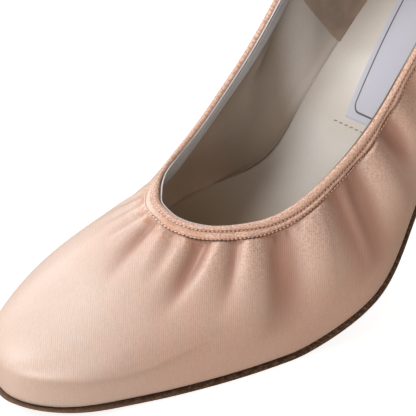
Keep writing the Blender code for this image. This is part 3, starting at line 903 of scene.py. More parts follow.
def makeSatin(material):
    at = evenPlaces(upper["places"])
    skin = Skin(at)
    along = alongTopline(at)
    first, begin = upper["rowTwo"], upper["begin"]
    shares = np.linspace(0.0, 1.0, upper["steps"]) ** upper["stepPower"]
    depth = first + begin + shares[None, :] * (skin.full[:, None] - first - begin)
    depth = np.concatenate([np.full((len(at), 1), first + upper["rim"]), depth], axis=1)
    wide = np.broadcast_to(along[:, None], depth.shape)
    lift = clothLift(at, wide, depth, skin)
    seam = np.abs(folded(wide - toplineRun[-1] / 2)) / upper["seamWidth"]
    # painted shade: the troughs, the heel's seam and the satin under the band are painted darker
    paintedShade = lift - upper["seamDepth"] * upper["seamShade"] * np.exp(-seam**2)
    shaded = upper["bandShade"] * smooth(wide, *upper["flushTo"])
    paintedShade = paintedShade - shaded * np.exp(-(((depth - first) / upper["bandShadeReach"]) ** 2))
    lift = lift - upper["seamDepth"] * np.exp(-seam**2)
    flush = 1 - smooth(along, *upper["flushTo"])
    depth[:, 0] -= upper["flushRise"] * flush
    lift[:, 0] = upper["rimLift"] + upper["flushLift"] * flush
    tuck = np.clip((depth - skin.full[:, None] + upper["edgeRound"]) / upper["edgeRound"], 0.0, 1.0)
    lift -= upper["edgeTuck"] * (1 - np.sqrt(1 - tuck**2))
    outer = skin.place(depth, lift)
    thread = threadPlace(outer, outer[:, :1], outward(at), depth - depth[:, :1])
    backColumns = backOf(depth.shape[1], upper["backSteps"])
    back = skin.place(depth[:, backColumns], lift[:, backColumns] - upper["thickness"])
    points = np.concatenate([outer, back], axis=1)
    depths = withBack(depth, backColumns)
    low = smooth(depths, skin.full[:, None] - upper["edgeDropReach"], skin.full[:, None])
    points[..., 2] -= edgeDrop(points[..., 0]) * low
    values = {"paintedShade": withBack(paintedShade, backColumns), "thread": withBack(thread, backColumns) * mm}
    piece = ringPiece("satinUpper", points, along, depths, material, values)
    print("satin upper:", points.shape[0] * points.shape[1], "points")
    return wear(piece, "satin", "upper")


topline = {
    "places": 1300, "pipingPlaces": 700, "tapePlaces": 600,
    # the binding's section: depth below the edge and height over the skin, from inside over the edge
    "section": ((1.1, -1.5), (0.7, -1.45), (0.1, -1.35), (-0.4, -1.1), (-0.62, -0.7), (-0.5, -0.2),
                (-0.1, 0.2), (0.5, 0.46), (1.2, 0.5), (1.8, 0.34), (2.2, 0.0), (2.4, -0.16), (2.6, 0.0),
                (3.0, 0.3), (3.5, 0.42), (4.1, 0.38), (4.6, 0.1), (4.9, -0.25), (5.1, -0.55)),
    "under": ((4.4, -0.75), (2.8, -0.75), (1.6, -1.0)),
    # painted shade along its grooves at the rows of stitches: half its width, and the height over the
    # skin where it ends
    "groove": 0.42, "grooveOver": -0.6,
    # a few close waves out of step, as gathered cloth has, on the side that shows
    "waves": 6, "waverPitch": 1.7, "waverShare": (0.75, 1.6), "waver": 0.025, "seed": 5,
    "waverOver": -0.2, "waverGrowth": 1.5,
    # the band gives a little with the folds below it: how much, and mm below the edge
    "follow": 0.3, "followFrom": (1.6, 5.0), "followDepth": 2.0,
    # the upper row of stitches sits lower on the outer side, where the roll over the edge is wider
    "rowShift": 0.9, "rowFrom": (15.0, 45.0), "rowTo": (76.0, 96.0),
    # the roll sits lower round the throat and on the outer side: how much, and where it comes and goes
    "rollDrop": 1.1, "rollFrom": (-32.0, -12.0), "rollTo": (150.0, 205.0), "rollDepth": 2.3,
    "rollEase": 2.4,
    # inside the edge: the piping's width and middle, the tape's section, and how far each sinks
    "piping": 0.5, "pipingSides": 8, "pipingPlace": (0.1, -1.62), "pipingDrop": 1.5,
    "pipingFrom": (10.0, 27.0),
    "tape": ((0.7, -1.86), (0.55, -2.12), (0.9, -2.3), (1.6, -2.36), (2.4, -2.28), (3.4, -2.42),
             (4.6, -2.46), (6.2, -2.4), (6.5, -2.2), (6.5, -1.9), (3.0, -1.8)),
    "tapeDrop": 0.7, "clear": 0.75,  # both keep clear of folds deeper than this
}


def rowShift(along, depth):
    near = smooth(along, *topline["rowFrom"]) * (1 - smooth(along, *topline["rowTo"]))
    one, two = upper["rowOne"], upper["rowTwo"]
    return topline["rowShift"] * near * smooth(depth, 0.0, one) * (1 - smooth(depth, one, two))


def sinksBy(along, drop, start):  # from nothing on the inner side to drop on the outer side
    return drop * smooth(along, *start) * (1 - smooth(along, *topline["rollTo"]))


def closeWaves(along):
    rng = np.random.default_rng(topline["seed"])
    wave = np.zeros_like(along)
    for _ in range(topline["waves"]):
        turns = round(toplineRun[-1] / (topline["waverPitch"] * rng.uniform(*topline["waverShare"])))
        phase = rng.uniform(0, 2 * math.pi)
        wave += np.sin(2 * math.pi * turns * along / toplineRun[-1] + phase)
    return wave


def toplineSweep(name, section, count, material, slot, drop, start, reach=9.0, waver=0.0):
    # carries a section round the topline; it sinks by drop, but not deeper than reach
    at = evenPlaces(count)
    skin = Skin(at)
    along = alongTopline(at)
    ring = along[:, None]
    depth, height = np.array(section).T
    sunk = sinksBy(ring, drop, start) * (1 - smooth(depth, reach - topline["rollEase"], reach))
    depths = depth + sunk + (rowShift(ring, depth) if waver else 0.0)
    raised = (np.broadcast_to(height, depths.shape) - topline["waverOver"]) * topline["waverGrowth"]
    lift = height + waver * closeWaves(ring) / math.sqrt(topline["waves"]) * np.clip(raised, 0.0, 1.0)
    if waver:
        deep = np.full((count, 1), upper["rowTwo"] + topline["followDepth"])
        follow = topline["follow"] * foldLift(ring, deep, np.ones((count, 1)))
        lift = lift + follow * smooth(depth, *topline["followFrom"])
    else:
        sunkFolds = foldLift(np.broadcast_to(ring, depths.shape), depths, np.ones(depths.shape))
        lift = lift + np.minimum(sunkFolds + topline["clear"], 0.0)
    # painted shade along the grooves at the rows of stitches
    rows = (upper["rowOne"], upper["rowTwo"])
    grooves = sum(np.exp(-(((depth - row) / topline["groove"]) ** 2)) for row in rows)
    groove = np.broadcast_to(np.where(height > topline["grooveOver"], grooves, 0.0), depths.shape)
    points = skin.place(depths, lift)
    return wear(ringPiece(name, points, along, depths, material, {"paintedShade": groove}), slot)


def makeTopline(materials):
    section = topline["section"] + topline["under"]
    toplineSweep("toplineBinding", section, topline["places"], materials["binding"], "satin",
                 topline["rollDrop"], topline["rollFrom"], topline["rollDepth"], topline["waver"])
    depth, height = topline["pipingPlace"]
    turn = np.linspace(0, 2 * math.pi, topline["pipingSides"], endpoint=False)
    radius = topline["piping"] / 2
    circle = [(depth + radius * math.cos(a), height + radius * math.sin(a)) for a in turn]
    toplineSweep("toplinePiping", circle, topline["pipingPlaces"], materials["piping"], "sock_lining",
                 topline["pipingDrop"], topline["pipingFrom"])
    toplineSweep("liningTape", topline["tape"], topline["tapePlaces"], materials["tape"], "sock_lining",
                 topline["tapeDrop"], topline["rollFrom"])
    print("topline: binding, piping and tape")


stitches = {
    "pitch": 1.25, "length": 0.98, "thickness": 0.4, "slant": 12.0, "places": 900,
    # how high each row lies over the skin, and how far above its groove's middle the outer one sits
    "innerLift": 0.06, "outerLift": 0.1, "outerUp": 0.1,
    # painted light and shade on the thread, pale where the inner side is lit and dark where the outer
    # side is shaded: both tints, and mm out from the middle where they change over
    "innerTint": (0.95, 0.79, 0.70), "outerTint": (0.66, 0.42, 0.31), "outerFrom": (2.0, 18.0),
    # the tacks' grey is darker than their pale thread, with their shadow painted in
    "tackPitch": 2.0, "tackLength": 1.5, "tackThickness": 0.5, "tackTint": (0.40, 0.37, 0.33),
}


def makeStitchTree():  # lays a slanted bead at every pitch along a guide line, facing as its points do
    tree = bpy.data.node_groups.new("stitchTree", "GeometryNodeTree")
    tree.interface.new_socket("Stitches", in_out="OUTPUT", socket_type="NodeSocketGeometry")
    kinds = {"Guide": "Geometry", "Pitch": "Float", "Length": "Float", "Thickness": "Float",
             "Slant": "Float", "Material": "Material"}
    for name, kind in kinds.items():
        tree.interface.new_socket(name, in_out="INPUT", socket_type="NodeSocket" + kind)
    g = Graph(tree)
    given = tree.nodes.new("NodeGroupInput").outputs
    guide, pitch, length, thickness, slant, material = [Wire(g, socket) for socket in given[:6]]
    curve = g.node("GeometryNodeMeshToCurve", {"Mesh": guide})
    spaced = g.node("GeometryNodeResampleCurve", {"Curve": curve, "Length": pitch}, mode="LENGTH")
    facing = g.node("GeometryNodeInputNamedAttribute", {"Name": "facing"}, data_type="FLOAT_VECTOR")
    align = "FunctionNodeAlignRotationToVector"
    upright = g.node(align, {"Vector": facing}, axis="Z")
    ahead = {"Rotation": upright, "Vector": g.node("GeometryNodeInputTangent")}
    turned = g.node(align, ahead, axis="X", pivot_axis="Z")
    slanting = g.node("FunctionNodeAxisAngleToRotation", {"Axis": (0.0, 0.0, 1.0), "Angle": slant})
    both = {"Rotation": turned, "Rotate By": slanting}
    rotation = g.node("FunctionNodeRotateRotation", both, rotation_space="LOCAL")
    bead = g.node("GeometryNodeMeshUVSphere", {"Segments": 7, "Rings": 5, "Radius": 0.5})
    size = g.join(length, thickness, thickness)
    thread = g.node("GeometryNodeTransform", {"Geometry": bead, "Scale": size})
    laid = {"Points": spaced, "Instance": thread, "Rotation": rotation}
    placed = g.node("GeometryNodeInstanceOnPoints", laid)
    real = g.node("GeometryNodeRealizeInstances", {"Geometry": placed})
    softened = g.node("GeometryNodeSetShadeSmooth", {"Geometry": real})
    finished = g.node("GeometryNodeSetMaterial", {"Geometry": softened, "Material": material})
    g.put(tree.nodes.new("NodeGroupOutput").inputs[0], finished)
    return tree


stitchTree = makeStitchTree()


def stitchRow(name, points, normals, closed, sizes, material, slot):
    count = len(points)
    mesh = bpy.data.meshes.new(name)
    edges = [(i, (i + 1) % count) for i in range(count if closed else count - 1)]
    mesh.from_pydata(toWorld(points).tolist(), edges, [])
    facing = mesh.attributes.new("facing", "FLOAT_VECTOR", "POINT")
    facing.data.foreach_set("vector", np.ravel(normals))
    guide = putInScene(name + "Guide", mesh)
    modifier = guide.modifiers.new("stitches", "NODES")
    modifier.node_group = stitchTree
    pitch, length, thickness = (size * mm for size in sizes)
    values = {"Pitch": pitch, "Length": length, "Thickness": thickness,
              "Slant": math.radians(stitches["slant"]), "Material": material}
    for item in stitchTree.interface.items_tree:
        if item.name in values:
            modifier[item.identifier] = values[item.name]
    graph = bpy.context.evaluated_depsgraph_get()
    made = bpy.data.meshes.new_from_object(guide.evaluated_get(graph), depsgraph=graph)
    guide.modifiers.clear()
    bpy.data.objects.remove(guide)
    print(name + ":", len(made.polygons), "faces")
    return wear(putInScene(name, made), slot)


def makeStitches(materials):
    at = evenPlaces(stitches["places"])
    skin = Skin(at)
    sizes = (stitches["pitch"], stitches["length"], stitches["thickness"])
    rows = (("stitchRowInner", upper["rowOne"], stitches["innerLift"]),
            ("stitchRowOuter", upper["rowTwo"] - stitches["outerUp"], stitches["outerLift"]))
    for name, depth, height in rows:
        depths = depth + rowShift(alongTopline(at)[:, None], depth)
        points = skin.place(depths, np.full_like(depths, height))[:, 0]
        stitchRow(name, points, skin.normal[:, 0], True, sizes, materials["thread"], "satin")


lining = {
    "places": 400, "steps": 60, "backSteps": 30, "top": 0.6, "height": -1.86, "thickness": 0.3,
    # soft upright folds, by depth: their height, their lean, and (mm, phase, share) of each wave
    "waver": 0.33, "waverFrom": (5.0, 14.0), "waverTo": (22.0, 44.0), "waverLean": 0.35,
    "waves": ((5.3, 0.8, 1.0), (3.3, 2.0, 0.8)),
    # and swells on the inner side: station, spread and height of each, by depth and height over the sock
    "billows": ((98.0, 6.5, 1.5), (127.0, 6.0, 1.2)),
    "billowFrom": (4.0, 14.0), "billowFoot": (1.0, 16.0),
    "clear": 0.1, "blend": 0.15,  # how it keeps behind the satin
    "seam": 0.6, "foot": 9.0,  # mm over the sock that the painted shade line and the painted light on the foot reach
    "footReach": 4.0, "footCurve": 1.3,  # how the lining turns in towards the sock
    # at the waist it comes in further, on the inner side: station, spread and inset, and from how high
    "waist": (119.0, 10.0, 3.0), "waistReach": 12.0, "waistCurve": 1.5,
}


def waistInset(x):
    station, spread, extra = lining["waist"]
    return extra * np.exp(-(((x - station) / spread) ** 2))


def liningInset(at, height):  # extra inset near the sock; height is over the sock
    inner = (at > toeAt) * waistInset(ribCurve(at % around)[..., 0])
    curl = np.clip(1 - height / lining["footReach"], 0.0, 1.0) ** 2
    reach = np.clip(1 - height / lining["waistReach"], 0.0, 1.0) ** lining["waistCurve"]
    return lining["footCurve"] * curl + inner * reach


def liningLift(at, along, depth, skin):  # the lining's inner face, pushed in where the satin folds in
    height = skin.full[:, None] - depth - last["insole"]
    lean = along + lining["waverLean"] * depth
    wave = sum(share * np.sin(lean / pitch + phase) for pitch, phase, share in lining["waves"])
    fade = smooth(depth, *lining["waverFrom"]) * (1 - smooth(depth, *lining["waverTo"]))
    lift = lining["height"] - liningInset(np.broadcast_to(at[:, None], depth.shape), height)
    lift = lift + lining["waver"] * wave * fade
    x = ribCurve(at % around)[:, None, 0]
    within = smooth(depth, *lining["billowFrom"]), smooth(height, *lining["billowFoot"])
    for station, spread, swell in lining["billows"]:
        inner = (at > toeAt)[:, None] * np.exp(-(((x - station) / spread) ** 2))
        lift = lift - swell * inner * within[0] * within[1]
    satinBack = clothLift(at, along, depth, skin) - upper["thickness"]
    ceiling = satinBack - lining["thickness"] - lining["clear"]
    return -lining["blend"] * np.logaddexp(-lift / lining["blend"], -ceiling / lining["blend"])


def makeLining(material):
    at = evenPlaces(lining["places"])
    skin = Skin(at)
    along = alongTopline(at)
    shares = np.linspace(0.0, 1.0, lining["steps"])
    depth = lining["top"] + shares[None, :] * (skin.full[:, None] - lining["top"])
    wide = np.broadcast_to(along[:, None], depth.shape)
    lift = liningLift(at, wide, depth, skin)
    inner = skin.place(depth, lift)
    backColumns = backOf(lining["steps"], lining["backSteps"])
    back = skin.place(depth[:, backColumns], lift[:, backColumns] + lining["thickness"])
    points = np.concatenate([inner, back], axis=1)
    depths = withBack(depth, backColumns)
    height = skin.full[:, None] - last["insole"] - depths
    # painted shade line at the sock and painted light on the foot
    reaches = {"paintedShade": lining["seam"], "foot": lining["foot"]}
    values = {key: np.exp(-((height / reach) ** 2)) for key, reach in reaches.items()}
    wear(ringPiece("lining", points, along, depths, material, values), "sock_lining")
    print("lining")


grip = {
    "rows": 116, "columns": 200,
    "top": 3.9, "foot": 1.1,  # mm below the topline, and over the feather line
    "deep": 42.0,  # about how far down it runs, for its slanted edges
    "edge": 98.7, "slope": 0.56,  # its front: mm along the topline from the throat, and for each mm down
    "thickness": 0.5, "clear": 0.05, "tooth": 0.4, "toothPitch": 1.6,
}


def makeGrip(material):
    # a suede piece round the inside of the heel, with slanted toothed front edges
    total = toplineRun[-1]
    front = np.zeros((grip["rows"], grip["columns"], 3))
    back = np.zeros_like(front)
    for k, share in enumerate(np.linspace(0.0, 1.0, grip["rows"])):
        down = grip["top"] + share * grip["deep"]
        tooth = grip["tooth"] * (abs((down / grip["toothPitch"]) % 1 - 0.5) * 2 - 0.5)
        reach = total / 2 - grip["edge"] - grip["slope"] * down + tooth
        run = np.linspace(-reach, reach, grip["columns"]) % total
        at = np.interp(run, toplineRun, toplineAt)
        skin = Skin(at)
        depth = grip["top"] + share * (skin.full[:, None] - grip["foot"] - grip["top"])
        lift = liningLift(at, alongTopline(at)[:, None], depth, skin)
        front[k] = skin.place(depth, lift - grip["thickness"])[:, 0]
        back[k] = skin.place(depth, lift - grip["clear"])[:, 0]
    closedSheet("heelGrip", front, back, material, "sock_lining")
    print("heel grip")


sockPiece = {
    "stations": 220, "columns": 60, "drop": 0.6, "round": 1.4, "top": 0.15,
    "dish": 0.6, "hollows": ((170, 28), (26, 20)),  # the tread's hollows: stations and spreads
    "curl": 3.4, "curlWidth": 7.0, "curlFrom": (126.0, 150.0),  # its edge climbs the wall in the toe
}
sockTop = last["sole"] + last["gap"] + last["insole"] + sockPiece["top"]  # over the sole's underside


def sidePair(count):
    # matching places on the outer and the inner side, from the back of the heel to the toe
    share = np.linspace(0.0, 1.0, count)
    eased = 0.5 - 0.5 * np.cos(math.pi * share)
    return eased * toeAt, around - eased * (around - toeAt)


def makeSock(material):
    outerAt, innerAt = sidePair(sockPiece["stations"])
    inward = last["wall"] + last["gap"]
    outer = feather(outerAt, -inward)
    inner = feather(innerAt, -(inward + waistInset(ribCurve(innerAt % around)[:, 0]))[:, None])
    share = 0.5 - 0.5 * np.cos(math.pi * np.linspace(0.0, 1.0, sockPiece["columns"]))
    plan = outer[:, None, :] + share[None, :, None] * (inner - outer)[:, None, :]
    x = plan[..., 0]
    width = np.linalg.norm(inner - outer, axis=1)[:, None]
    edge = np.minimum(share, 1 - share)[None, :] * width
    drop = sockPiece["drop"] * np.clip(1 - edge / sockPiece["round"], 0.0, 1.0) ** 2
    climb = sockPiece["curl"] * smooth(x, *sockPiece["curlFrom"])
    climb = climb * np.clip(1 - edge / sockPiece["curlWidth"], 0.0, 1.0) ** 2
    dish = sockPiece["dish"] * (1 - (2 * share[None, :] - 1) ** 2)
    hollow = sum(np.exp(-(((x - station) / spread) ** 2)) for station, spread in sockPiece["hollows"])
    top = overPlan(plan, sockTop - dish * hollow - drop + climb)
    bottom = overPlan(plan, np.full(plan.shape[:2], last["sole"] + last["gap"]))
    piece = closedSheet("sock", top, bottom, material, "sock_lining")
    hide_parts("insole")
    print("sock")


labelPatch = {
    "place": (103.9, -3.3),  # its front inner corner
    "turn": 15.3, "skew": 11.5,  # degrees; the skew is a slightly slanted cut end
    "length": 50.0, "width": 22.0, "thickness": 0.3, "sunk": 0.1, "rows": 90, "columns": 40,
    # the line woven in round it: how far in, its corners' radius, and mm from its middle to its soft edge
    "border": 1.9, "corner": 2.4, "lineEdge": (0.1575, 0.2925),
    "cloth": (0.60, 0.61, 0.70), "ink": (0.11, 0.085, 0.08),
    "thread": 0.4, "threadAlong": 1.3, "threadTint": 0.06, "relief": 0.03,
    # its tacks: a row just ahead of its front end, placed back from the corner and across from it
    "tackBack": -1.8, "tackFrom": -2.8, "tackTo": 21.0, "tackPoints": 60, "tackOver": 0.12,
    "tackFacing": (0.6, 0.0, 0.8),
}


def labelPoint(back, side):  # a point of the label's plan, from its front inner corner, in mm
    turn = math.radians(labelPatch["turn"])
    across = math.radians(labelPatch["turn"] - labelPatch["skew"])
    x0, y0 = labelPatch["place"]
    return np.stack([x0 - back * math.cos(turn) - side * math.sin(across),
                     y0 - back * math.sin(turn) + side * math.cos(across)], axis=-1)


def overSock(plan, over):
    return overPlan(plan, np.full(plan.shape[:-1], sockTop + over))


def makeLabel(materials):
    back = np.linspace(0.0, labelPatch["length"], labelPatch["rows"])[:, None]
    side = np.linspace(0.0, labelPatch["width"], labelPatch["columns"])[None, :]
    back, side = np.broadcast_arrays(back, side)
    plan = labelPoint(back, side)
    uv = np.stack([back - labelPatch["length"] / 2, side - labelPatch["width"] / 2], axis=-1)
    top, bottom = overSock(plan, labelPatch["thickness"]), overSock(plan, -labelPatch["sunk"])
    piece = closedSheet("label", top, bottom, materials["label"], "sock_lining", uv)
    side = np.linspace(labelPatch["tackFrom"], labelPatch["tackTo"], labelPatch["tackPoints"])
    plan = labelPoint(np.full_like(side, labelPatch["tackBack"]), side)
    points = overSock(plan, labelPatch["tackOver"])
    normals = np.tile(labelPatch["tackFacing"], (len(points), 1))
    sizes = (stitches["tackPitch"], stitches["tackLength"], stitches["tackThickness"])
    stitchRow("labelTacks", points, normals, False, sizes, materials["tack"], "sock_lining")
    print("label")


outsole = {
    "stations": 200, "columns": 16, "crowd": 0.5,  # the stations lie closer together towards the toe
    # the edge's section: how far out past the upper and the height over the underside
    "section": ((-1.4, 2.7), (0.2, 2.66), (0.7, 2.5), (0.95, 2.2), (1.05, 1.4), (1.05, 0.5),
                (0.92, 0.16), (0.6, 0.02), (-0.6, 0.0)),
}


def pared(x, height):  # a height in the sole where its edge is pared
    return height * (1 - edgeDrop(x) / last["sole"])


def makeOutsole(materials):
    start = last["breast"] + last["gap"]
    fine = np.linspace(0.0, around, fineSteps)
    stations = ribCurve(fine)[:, 0]
    outerSide = fine <= toeAt
    outerStart = np.interp(start, stations[outerSide], fine[outerSide])
    innerStart = np.interp(start, stations[~outerSide][::-1], fine[~outerSide][::-1])
    share = np.linspace(0.0, 1.0, outsole["stations"])
    eased = share + outsole["crowd"] * (share - share**2)
    edges = []
    for first in (outerStart, innerStart):
        rows = []
        for out, height in outsole["section"]:
            plan = feather(first + eased * (toeAt - first), out)
            plan[0, 0] = start
            rows.append(overPlan(plan, pared(plan[:, 0], height)))
        edges.append(np.stack(rows, axis=1))
    outer, inner = edges
    across = np.linspace(0.0, 1.0, outsole["columns"])[1:-1][None, :, None]
    topRow = inner[:, :1] + across * (outer[:, :1] - inner[:, :1])
    bottomRow = outer[:, -1:] + across * (inner[:, -1:] - outer[:, -1:])
    for row, height in ((topRow, last["sole"]), (bottomRow, 0.0)):
        row[..., 2] = underside(row[..., 0]) + pared(row[..., 0], height)
    section = np.concatenate([outer, bottomRow, inner[:, ::-1], topRow], axis=1)
    faces = gridFaces(outsole["stations"], section.shape[1], False, True)
    column = np.arange(section.shape[1])
    edgeSize = len(outsole["section"])
    innerEdge = edgeSize + outsole["columns"] - 2  # the column where the inner side's edge begins
    onEdge = (column < edgeSize - 1) | ((column >= innerEdge) & (column < innerEdge + edgeSize - 1))
    faceMaterial = np.tile(np.where(onEdge, 0, 1), outsole["stations"] - 1)
    finishes = [materials["edge"], materials["nap"]]
    solidFromRings("outsoleLeather", section, faces, finishes, "sole_suede", "outsole", faceMaterial)
    print("outsole")


heel = {
    "columns": ("height", "back", "breast", "halfWidth", "turned"),
    "sections": (
        (69.5, 1.6, 48.6, 25.2, 0.06), (63.0, 5.0, 43.2, 21.6, 0.25), (55.0, 8.6, 39.0, 18.0, 0.48),
        (46.0, 11.4, 36.0, 15.0, 0.70), (36.0, 13.2, 34.2, 12.8, 0.88), (25.0, 14.2, 33.4, 11.4, 1.00),
        (14.0, 14.2, 33.8, 11.3, 1.00), (6.0, 13.4, 35.0, 12.2, 1.00),
    ),
    "seat": (2.7, 1.2, 0.0),  # heights of the seat's rings over the sole's underside
    "levels": 60, "round": 96, "across": 24, "breastRound": 0.14, "squareness": 0.8,
    # the tip's rings: height over the floor, and how far each is drawn in from the heel's foot
    "tip": ((5.7, 0.9), (5.7, 0.25), (5.4, 0.0), (0.5, 0.0), (0.15, 0.15), (0.0, 0.5), (0.0, 1.4)),
}


def breastLine(first, final):  # evenly between two ends of a ring, without them
    return np.linspace(first, final, heel["across"] + 2)[1:-1]


def seatOutline():
    fine = np.linspace(-around / 2, around / 2, fineSteps)
    stations = ribCurve(fine % around)[:, 0]
    ends = np.interp([-last["breast"], last["breast"]], np.sign(fine) * stations, fine)
    back = feather(np.linspace(*ends, heel["round"]) % around, last["heelEdge"])
    back[[0, -1], 0] = last["breast"]
    return np.vstack([back, breastLine(back[-1], back[0])])


def tipOutline():
    turn = np.linspace(-math.pi / 2, math.pi / 2, heel["round"])
    share = 1 - np.cos(turn) ** heel["squareness"]
    wide = np.sin(turn)
    across = breastLine(wide[-1], wide[0])
    back = np.column_stack([share * (1 - heel["breastRound"]), wide])
    front = np.column_stack([1 - heel["breastRound"] * np.abs(across) ** 3, across])
    return np.vstack([back, front])


def heelRing(section, seat, tip):
    half = np.abs(seat[:, 1]).max()
    shares = np.column_stack([seat[:, 0] / last["breast"], seat[:, 1] / half])
    mixed = shares + section["turned"] * (tip - shares)
    length = section["breast"] - section["back"]
    return np.column_stack([section["back"] + mixed[:, 0] * length, mixed[:, 1] * section["halfWidth"]])


def drawnIn(ring, distance):  # a level ring drawn in towards its middle
    middle = ring.mean(axis=0)
    away = ring - middle
    return middle + away * (1 - distance / np.linalg.norm(away[:, :2], axis=1)[:, None])


def heelThread(rings):
    tangent = unit((np.roll(rings, -1, axis=1) - np.roll(rings, 1, axis=1))[..., :2])
    rows = []
    for ring, side in zip(rings, tangent):
        out = np.column_stack([side[:, 1], -side[:, 0]])
        fall = rings[0, :, 2:] - ring[:, 2:]
        rows.append(threadPlace(ring[:, None], ring[:, None], out, fall)[:, 0])
    return np.stack(rows) * mm


def makeHeel(materials):
    seat, tip = seatOutline(), tipOutline()
    table = np.array(heel["sections"])
    depth = -table[:, 0]
    curve = hermite(depth, table, np.gradient(table, depth, axis=0))
    rings = [overPlan(seat, np.full(len(seat), over)) for over in heel["seat"]]
    seatMiddle = float(underside(np.array([last["breast"] / 2]))[0])
    for level in np.linspace(depth[0], depth[-1], heel["levels"]):
        section = dict(zip(heel["columns"], curve(level)))
        plan = heelRing(section, seat, tip)
        tilt = (1 - min(section["turned"], 1.0)) * section["height"] / seatMiddle
        height = section["height"] + tilt * (underside(plan[:, 0]) - seatMiddle)
        rings.append(np.column_stack([plan, height]))
    rings = np.stack(rings)
    faces = gridFaces(len(rings), len(seat), False, True)
    cover = [materials["heelSatin"]]
    values = {"thread": heelThread(rings)}
    solidFromRings("heelCover", rings, faces, cover, "heel_satin", "heel", values=values)

    foot = rings[-1] - [0.0, 0.0, rings[-1][0, 2]]
    tipRings = np.stack([drawnIn(foot, pull) + [0.0, 0.0, height] for height, pull in heel["tip"]])
    faces = gridFaces(len(tipRings), len(seat), False, True)
    solidFromRings("heelTip", tipRings, faces, [materials["tip"]], "tip_rubber", "heel_tip")
    print("heel and tip")


studio = {
    "azimuth": 47.0, "elevation": 38.4, "roll": -0.4, "distance": 748.0, "lens": 207.7,
    "aim": (158.9, -8.88, 28.44), "lampAim": (150.0, 0.0, 30.0),
    "sky": (0.31, 0.272, 0.242), "ground": (0.35, 0.245, 0.175), "horizon": (-0.3, 0.6),
    "floor": (0.55, 0.55, 0.55), "floorGlow": 0.82, "floorHalf": 6.0, "floorGrain": 400.0,
    "floorDull": (0.55, 0.62),
}
# azimuth and elevation of each light from the shoe, its distance and size in metres, its watts
lampColumns = ("name", "azimuth", "elevation", "distance", "size", "watts")
lamps = (
    ("keyLight", -35.0, 51.0, 1.5, 0.8, 12.0),
    ("frontLight", 26.0, 6.0, 1.8, 1.2, 22.0),
    ("rimLight", -112.0, 28.0, 1.8, 1.0, 14.0),
)


def direction(azimuth, elevation):
    a, e = math.radians(azimuth), math.radians(elevation)
    return np.array([math.cos(a) * math.cos(e), math.sin(a) * math.cos(e), math.sin(e)])


def matrixFrom(right, up, back, place):
    return Matrix([[right[i], up[i], back[i], place[i]] for i in range(3)] + [[0, 0, 0, 1]])


def makeCamera():
    back = direction(studio["azimuth"], studio["elevation"])
    level = unit(np.cross([0.0, 0.0, 1.0], back))
    upright = np.cross(back, level)
    roll = math.radians(studio["roll"])
    right = math.cos(roll) * level + math.sin(roll) * upright
    up = math.cos(roll) * upright - math.sin(roll) * level
    camera = bpy.data.cameras.new("camera")
    camera.lens = studio["lens"]
    camera.sensor_width = 36.0
    camera.clip_start = 0.05
    place = toWorld(studio["aim"])[0] + back * studio["distance"] * mm
    thing = putInScene("camera", camera)
    thing.matrix_world = matrixFrom(right, up, back, place)
    bpy.context.scene.camera = thing


def makeWorld():
    world = bpy.data.worlds.new("studio")
    world.use_nodes = True
    g = Graph(world.node_tree)
    height = g.split(g.node("ShaderNodeTexCoord", output="Generated"))[2]
    sky = g.mix(height.between(*studio["horizon"]), studio["ground"], studio["sky"])
    g.put(world.node_tree.nodes["Background"].inputs["Color"], sky)
    bpy.context.scene.world = world


def floorLook(g):
    grain = g.noise(g.objectPlace(), studio["floorGrain"])
    return {"roughness": grain.between(0.3, 0.7, *studio["floorDull"])}


def makeFloor():
    half = studio["floorHalf"]
    mesh = bpy.data.meshes.new("floor")
    corners = [(-half, -half, 0), (half, -half, 0), (half, half, 0), (-half, half, 0)]
    mesh.from_pydata(corners, [], [(0, 1, 2, 3)])
    mesh.materials.append(makeMaterial("floorPaint", floorLook, colour=(*studio["floor"], 1.0),
                                       glow=(1.0, 1.0, 1.0, 1.0), glowStrength=studio["floorGlow"]))
    floor = putInScene("floor", mesh)
    floor.visible_diffuse = False
    floor.visible_glossy = False


def makeLamps():
    aim = toWorld(studio["lampAim"])[0]
    for row in lamps:
        light = dict(zip(lampColumns, row))
        back = direction(light["azimuth"], light["elevation"])
        right = unit(np.cross([0.0, 0.0, 1.0], back))
        place = aim + back * light["distance"]
        lamp = bpy.data.lights.new(light["name"], "AREA")
        lamp.shape = "DISK"
        lamp.size = light["size"]
        lamp.energy = light["watts"]
        thing = putInScene(light["name"], lamp)
        thing.matrix_world = matrixFrom(right, np.cross(back, right), back, place)
        thing.visible_camera = False


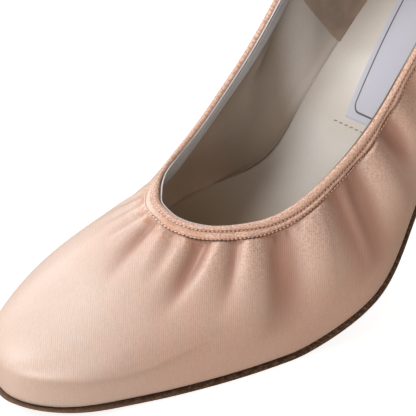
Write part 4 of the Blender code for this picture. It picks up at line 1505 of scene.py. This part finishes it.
def makeMaterials():
    gripShade = tuple(inside["gripShade"] * c for c in inside["grip"])
    liningLook = clothLook(inside["cloth"], inside["deep"], weave=0.5, ahead=inside["clothAhead"],
                           rim=inside["rim"])
    sockLook = clothLook(inside["sock"], inside["sockShade"], weave=0.7, grain=0.06, relief=0.04,
                         ahead=inside["sockAhead"])
    tapeLook = clothLook(inside["tape"], inside["tape"], weave=0.35, ahead=inside["tapeAhead"])
    pipingLook = clothLook(inside["piping"], inside["piping"], weave=0.3)
    gripLook = suedeLook(inside["grip"], gripShade)
    napLook = suedeLook(leather["nap"], leather["napShade"])
    tipLook = suedeLook(leather["tip"], leather["tip"], nap=0.6, relief=0.04)
    seams = threadLook(stitches["innerTint"], stitches["outerTint"])
    tacks = threadLook(stitches["tackTint"], stitches["tackTint"])
    shine = {"sheen": 0.55, "sheenRoughness": 0.4, "sheenTint": (1.0, 0.86, 0.79, 1.0), "specular": 0.8,
             "coat": 0.3, "coatRoughness": 0.45}
    band = {"roughness": 0.5, "sheen": 0.6, "sheenTint": (1.0, 0.72, 0.58, 1.0), "specular": 0.5}
    # the material's name, what varies over it, and what is the same all over it
    looks = {
        "satin": ("peachSatin", satinLook(True), shine),
        "heelSatin": ("heelSatin", satinLook(False), shine),
        "binding": ("peachBinding", bindingLook, band),
        "thread": ("peachThread", seams, {"roughness": 0.35, "specular": 0.8}),
        "tack": ("greyThread", tacks, {"roughness": 0.6}),
        "lining": ("creamLining", liningLook, {"roughness": 0.75, "specular": 0.2}),
        "tape": ("greyTape", tapeLook, {"roughness": 0.8}),
        "piping": ("palePiping", pipingLook, {"roughness": 0.4}),
        "grip": ("heelSuede", gripLook, {"roughness": 0.95, "specular": 0.1}),
        "sock": ("paleSock", sockLook, {"roughness": 0.6, "specular": 0.3}),
        "label": ("wovenLabel", labelLook, {"roughness": 0.45}),
        "edge": ("soleEdge", edgeLook, {"roughness": 0.6, "specular": 0.2}),
        "nap": ("soleSuede", napLook, {"roughness": 0.95}),
        "tip": ("tipRubber", tipLook, {"roughness": 0.55}),
    }
    return {key: makeMaterial(name, look, **same) for key, (name, look, same) in looks.items()}


bpy.context.scene.view_settings.view_transform = "Standard"
makeCamera()
makeWorld()
makeFloor()
makeLamps()
print("stage and lights")
materials = makeMaterials()
makeSatin(materials["satin"])
makeTopline(materials)
makeStitches(materials)
makeLining(materials["lining"])
makeGrip(materials["grip"])
makeSock(materials["sock"])
makeLabel(materials)
makeOutsole(materials)
makeHeel(materials)
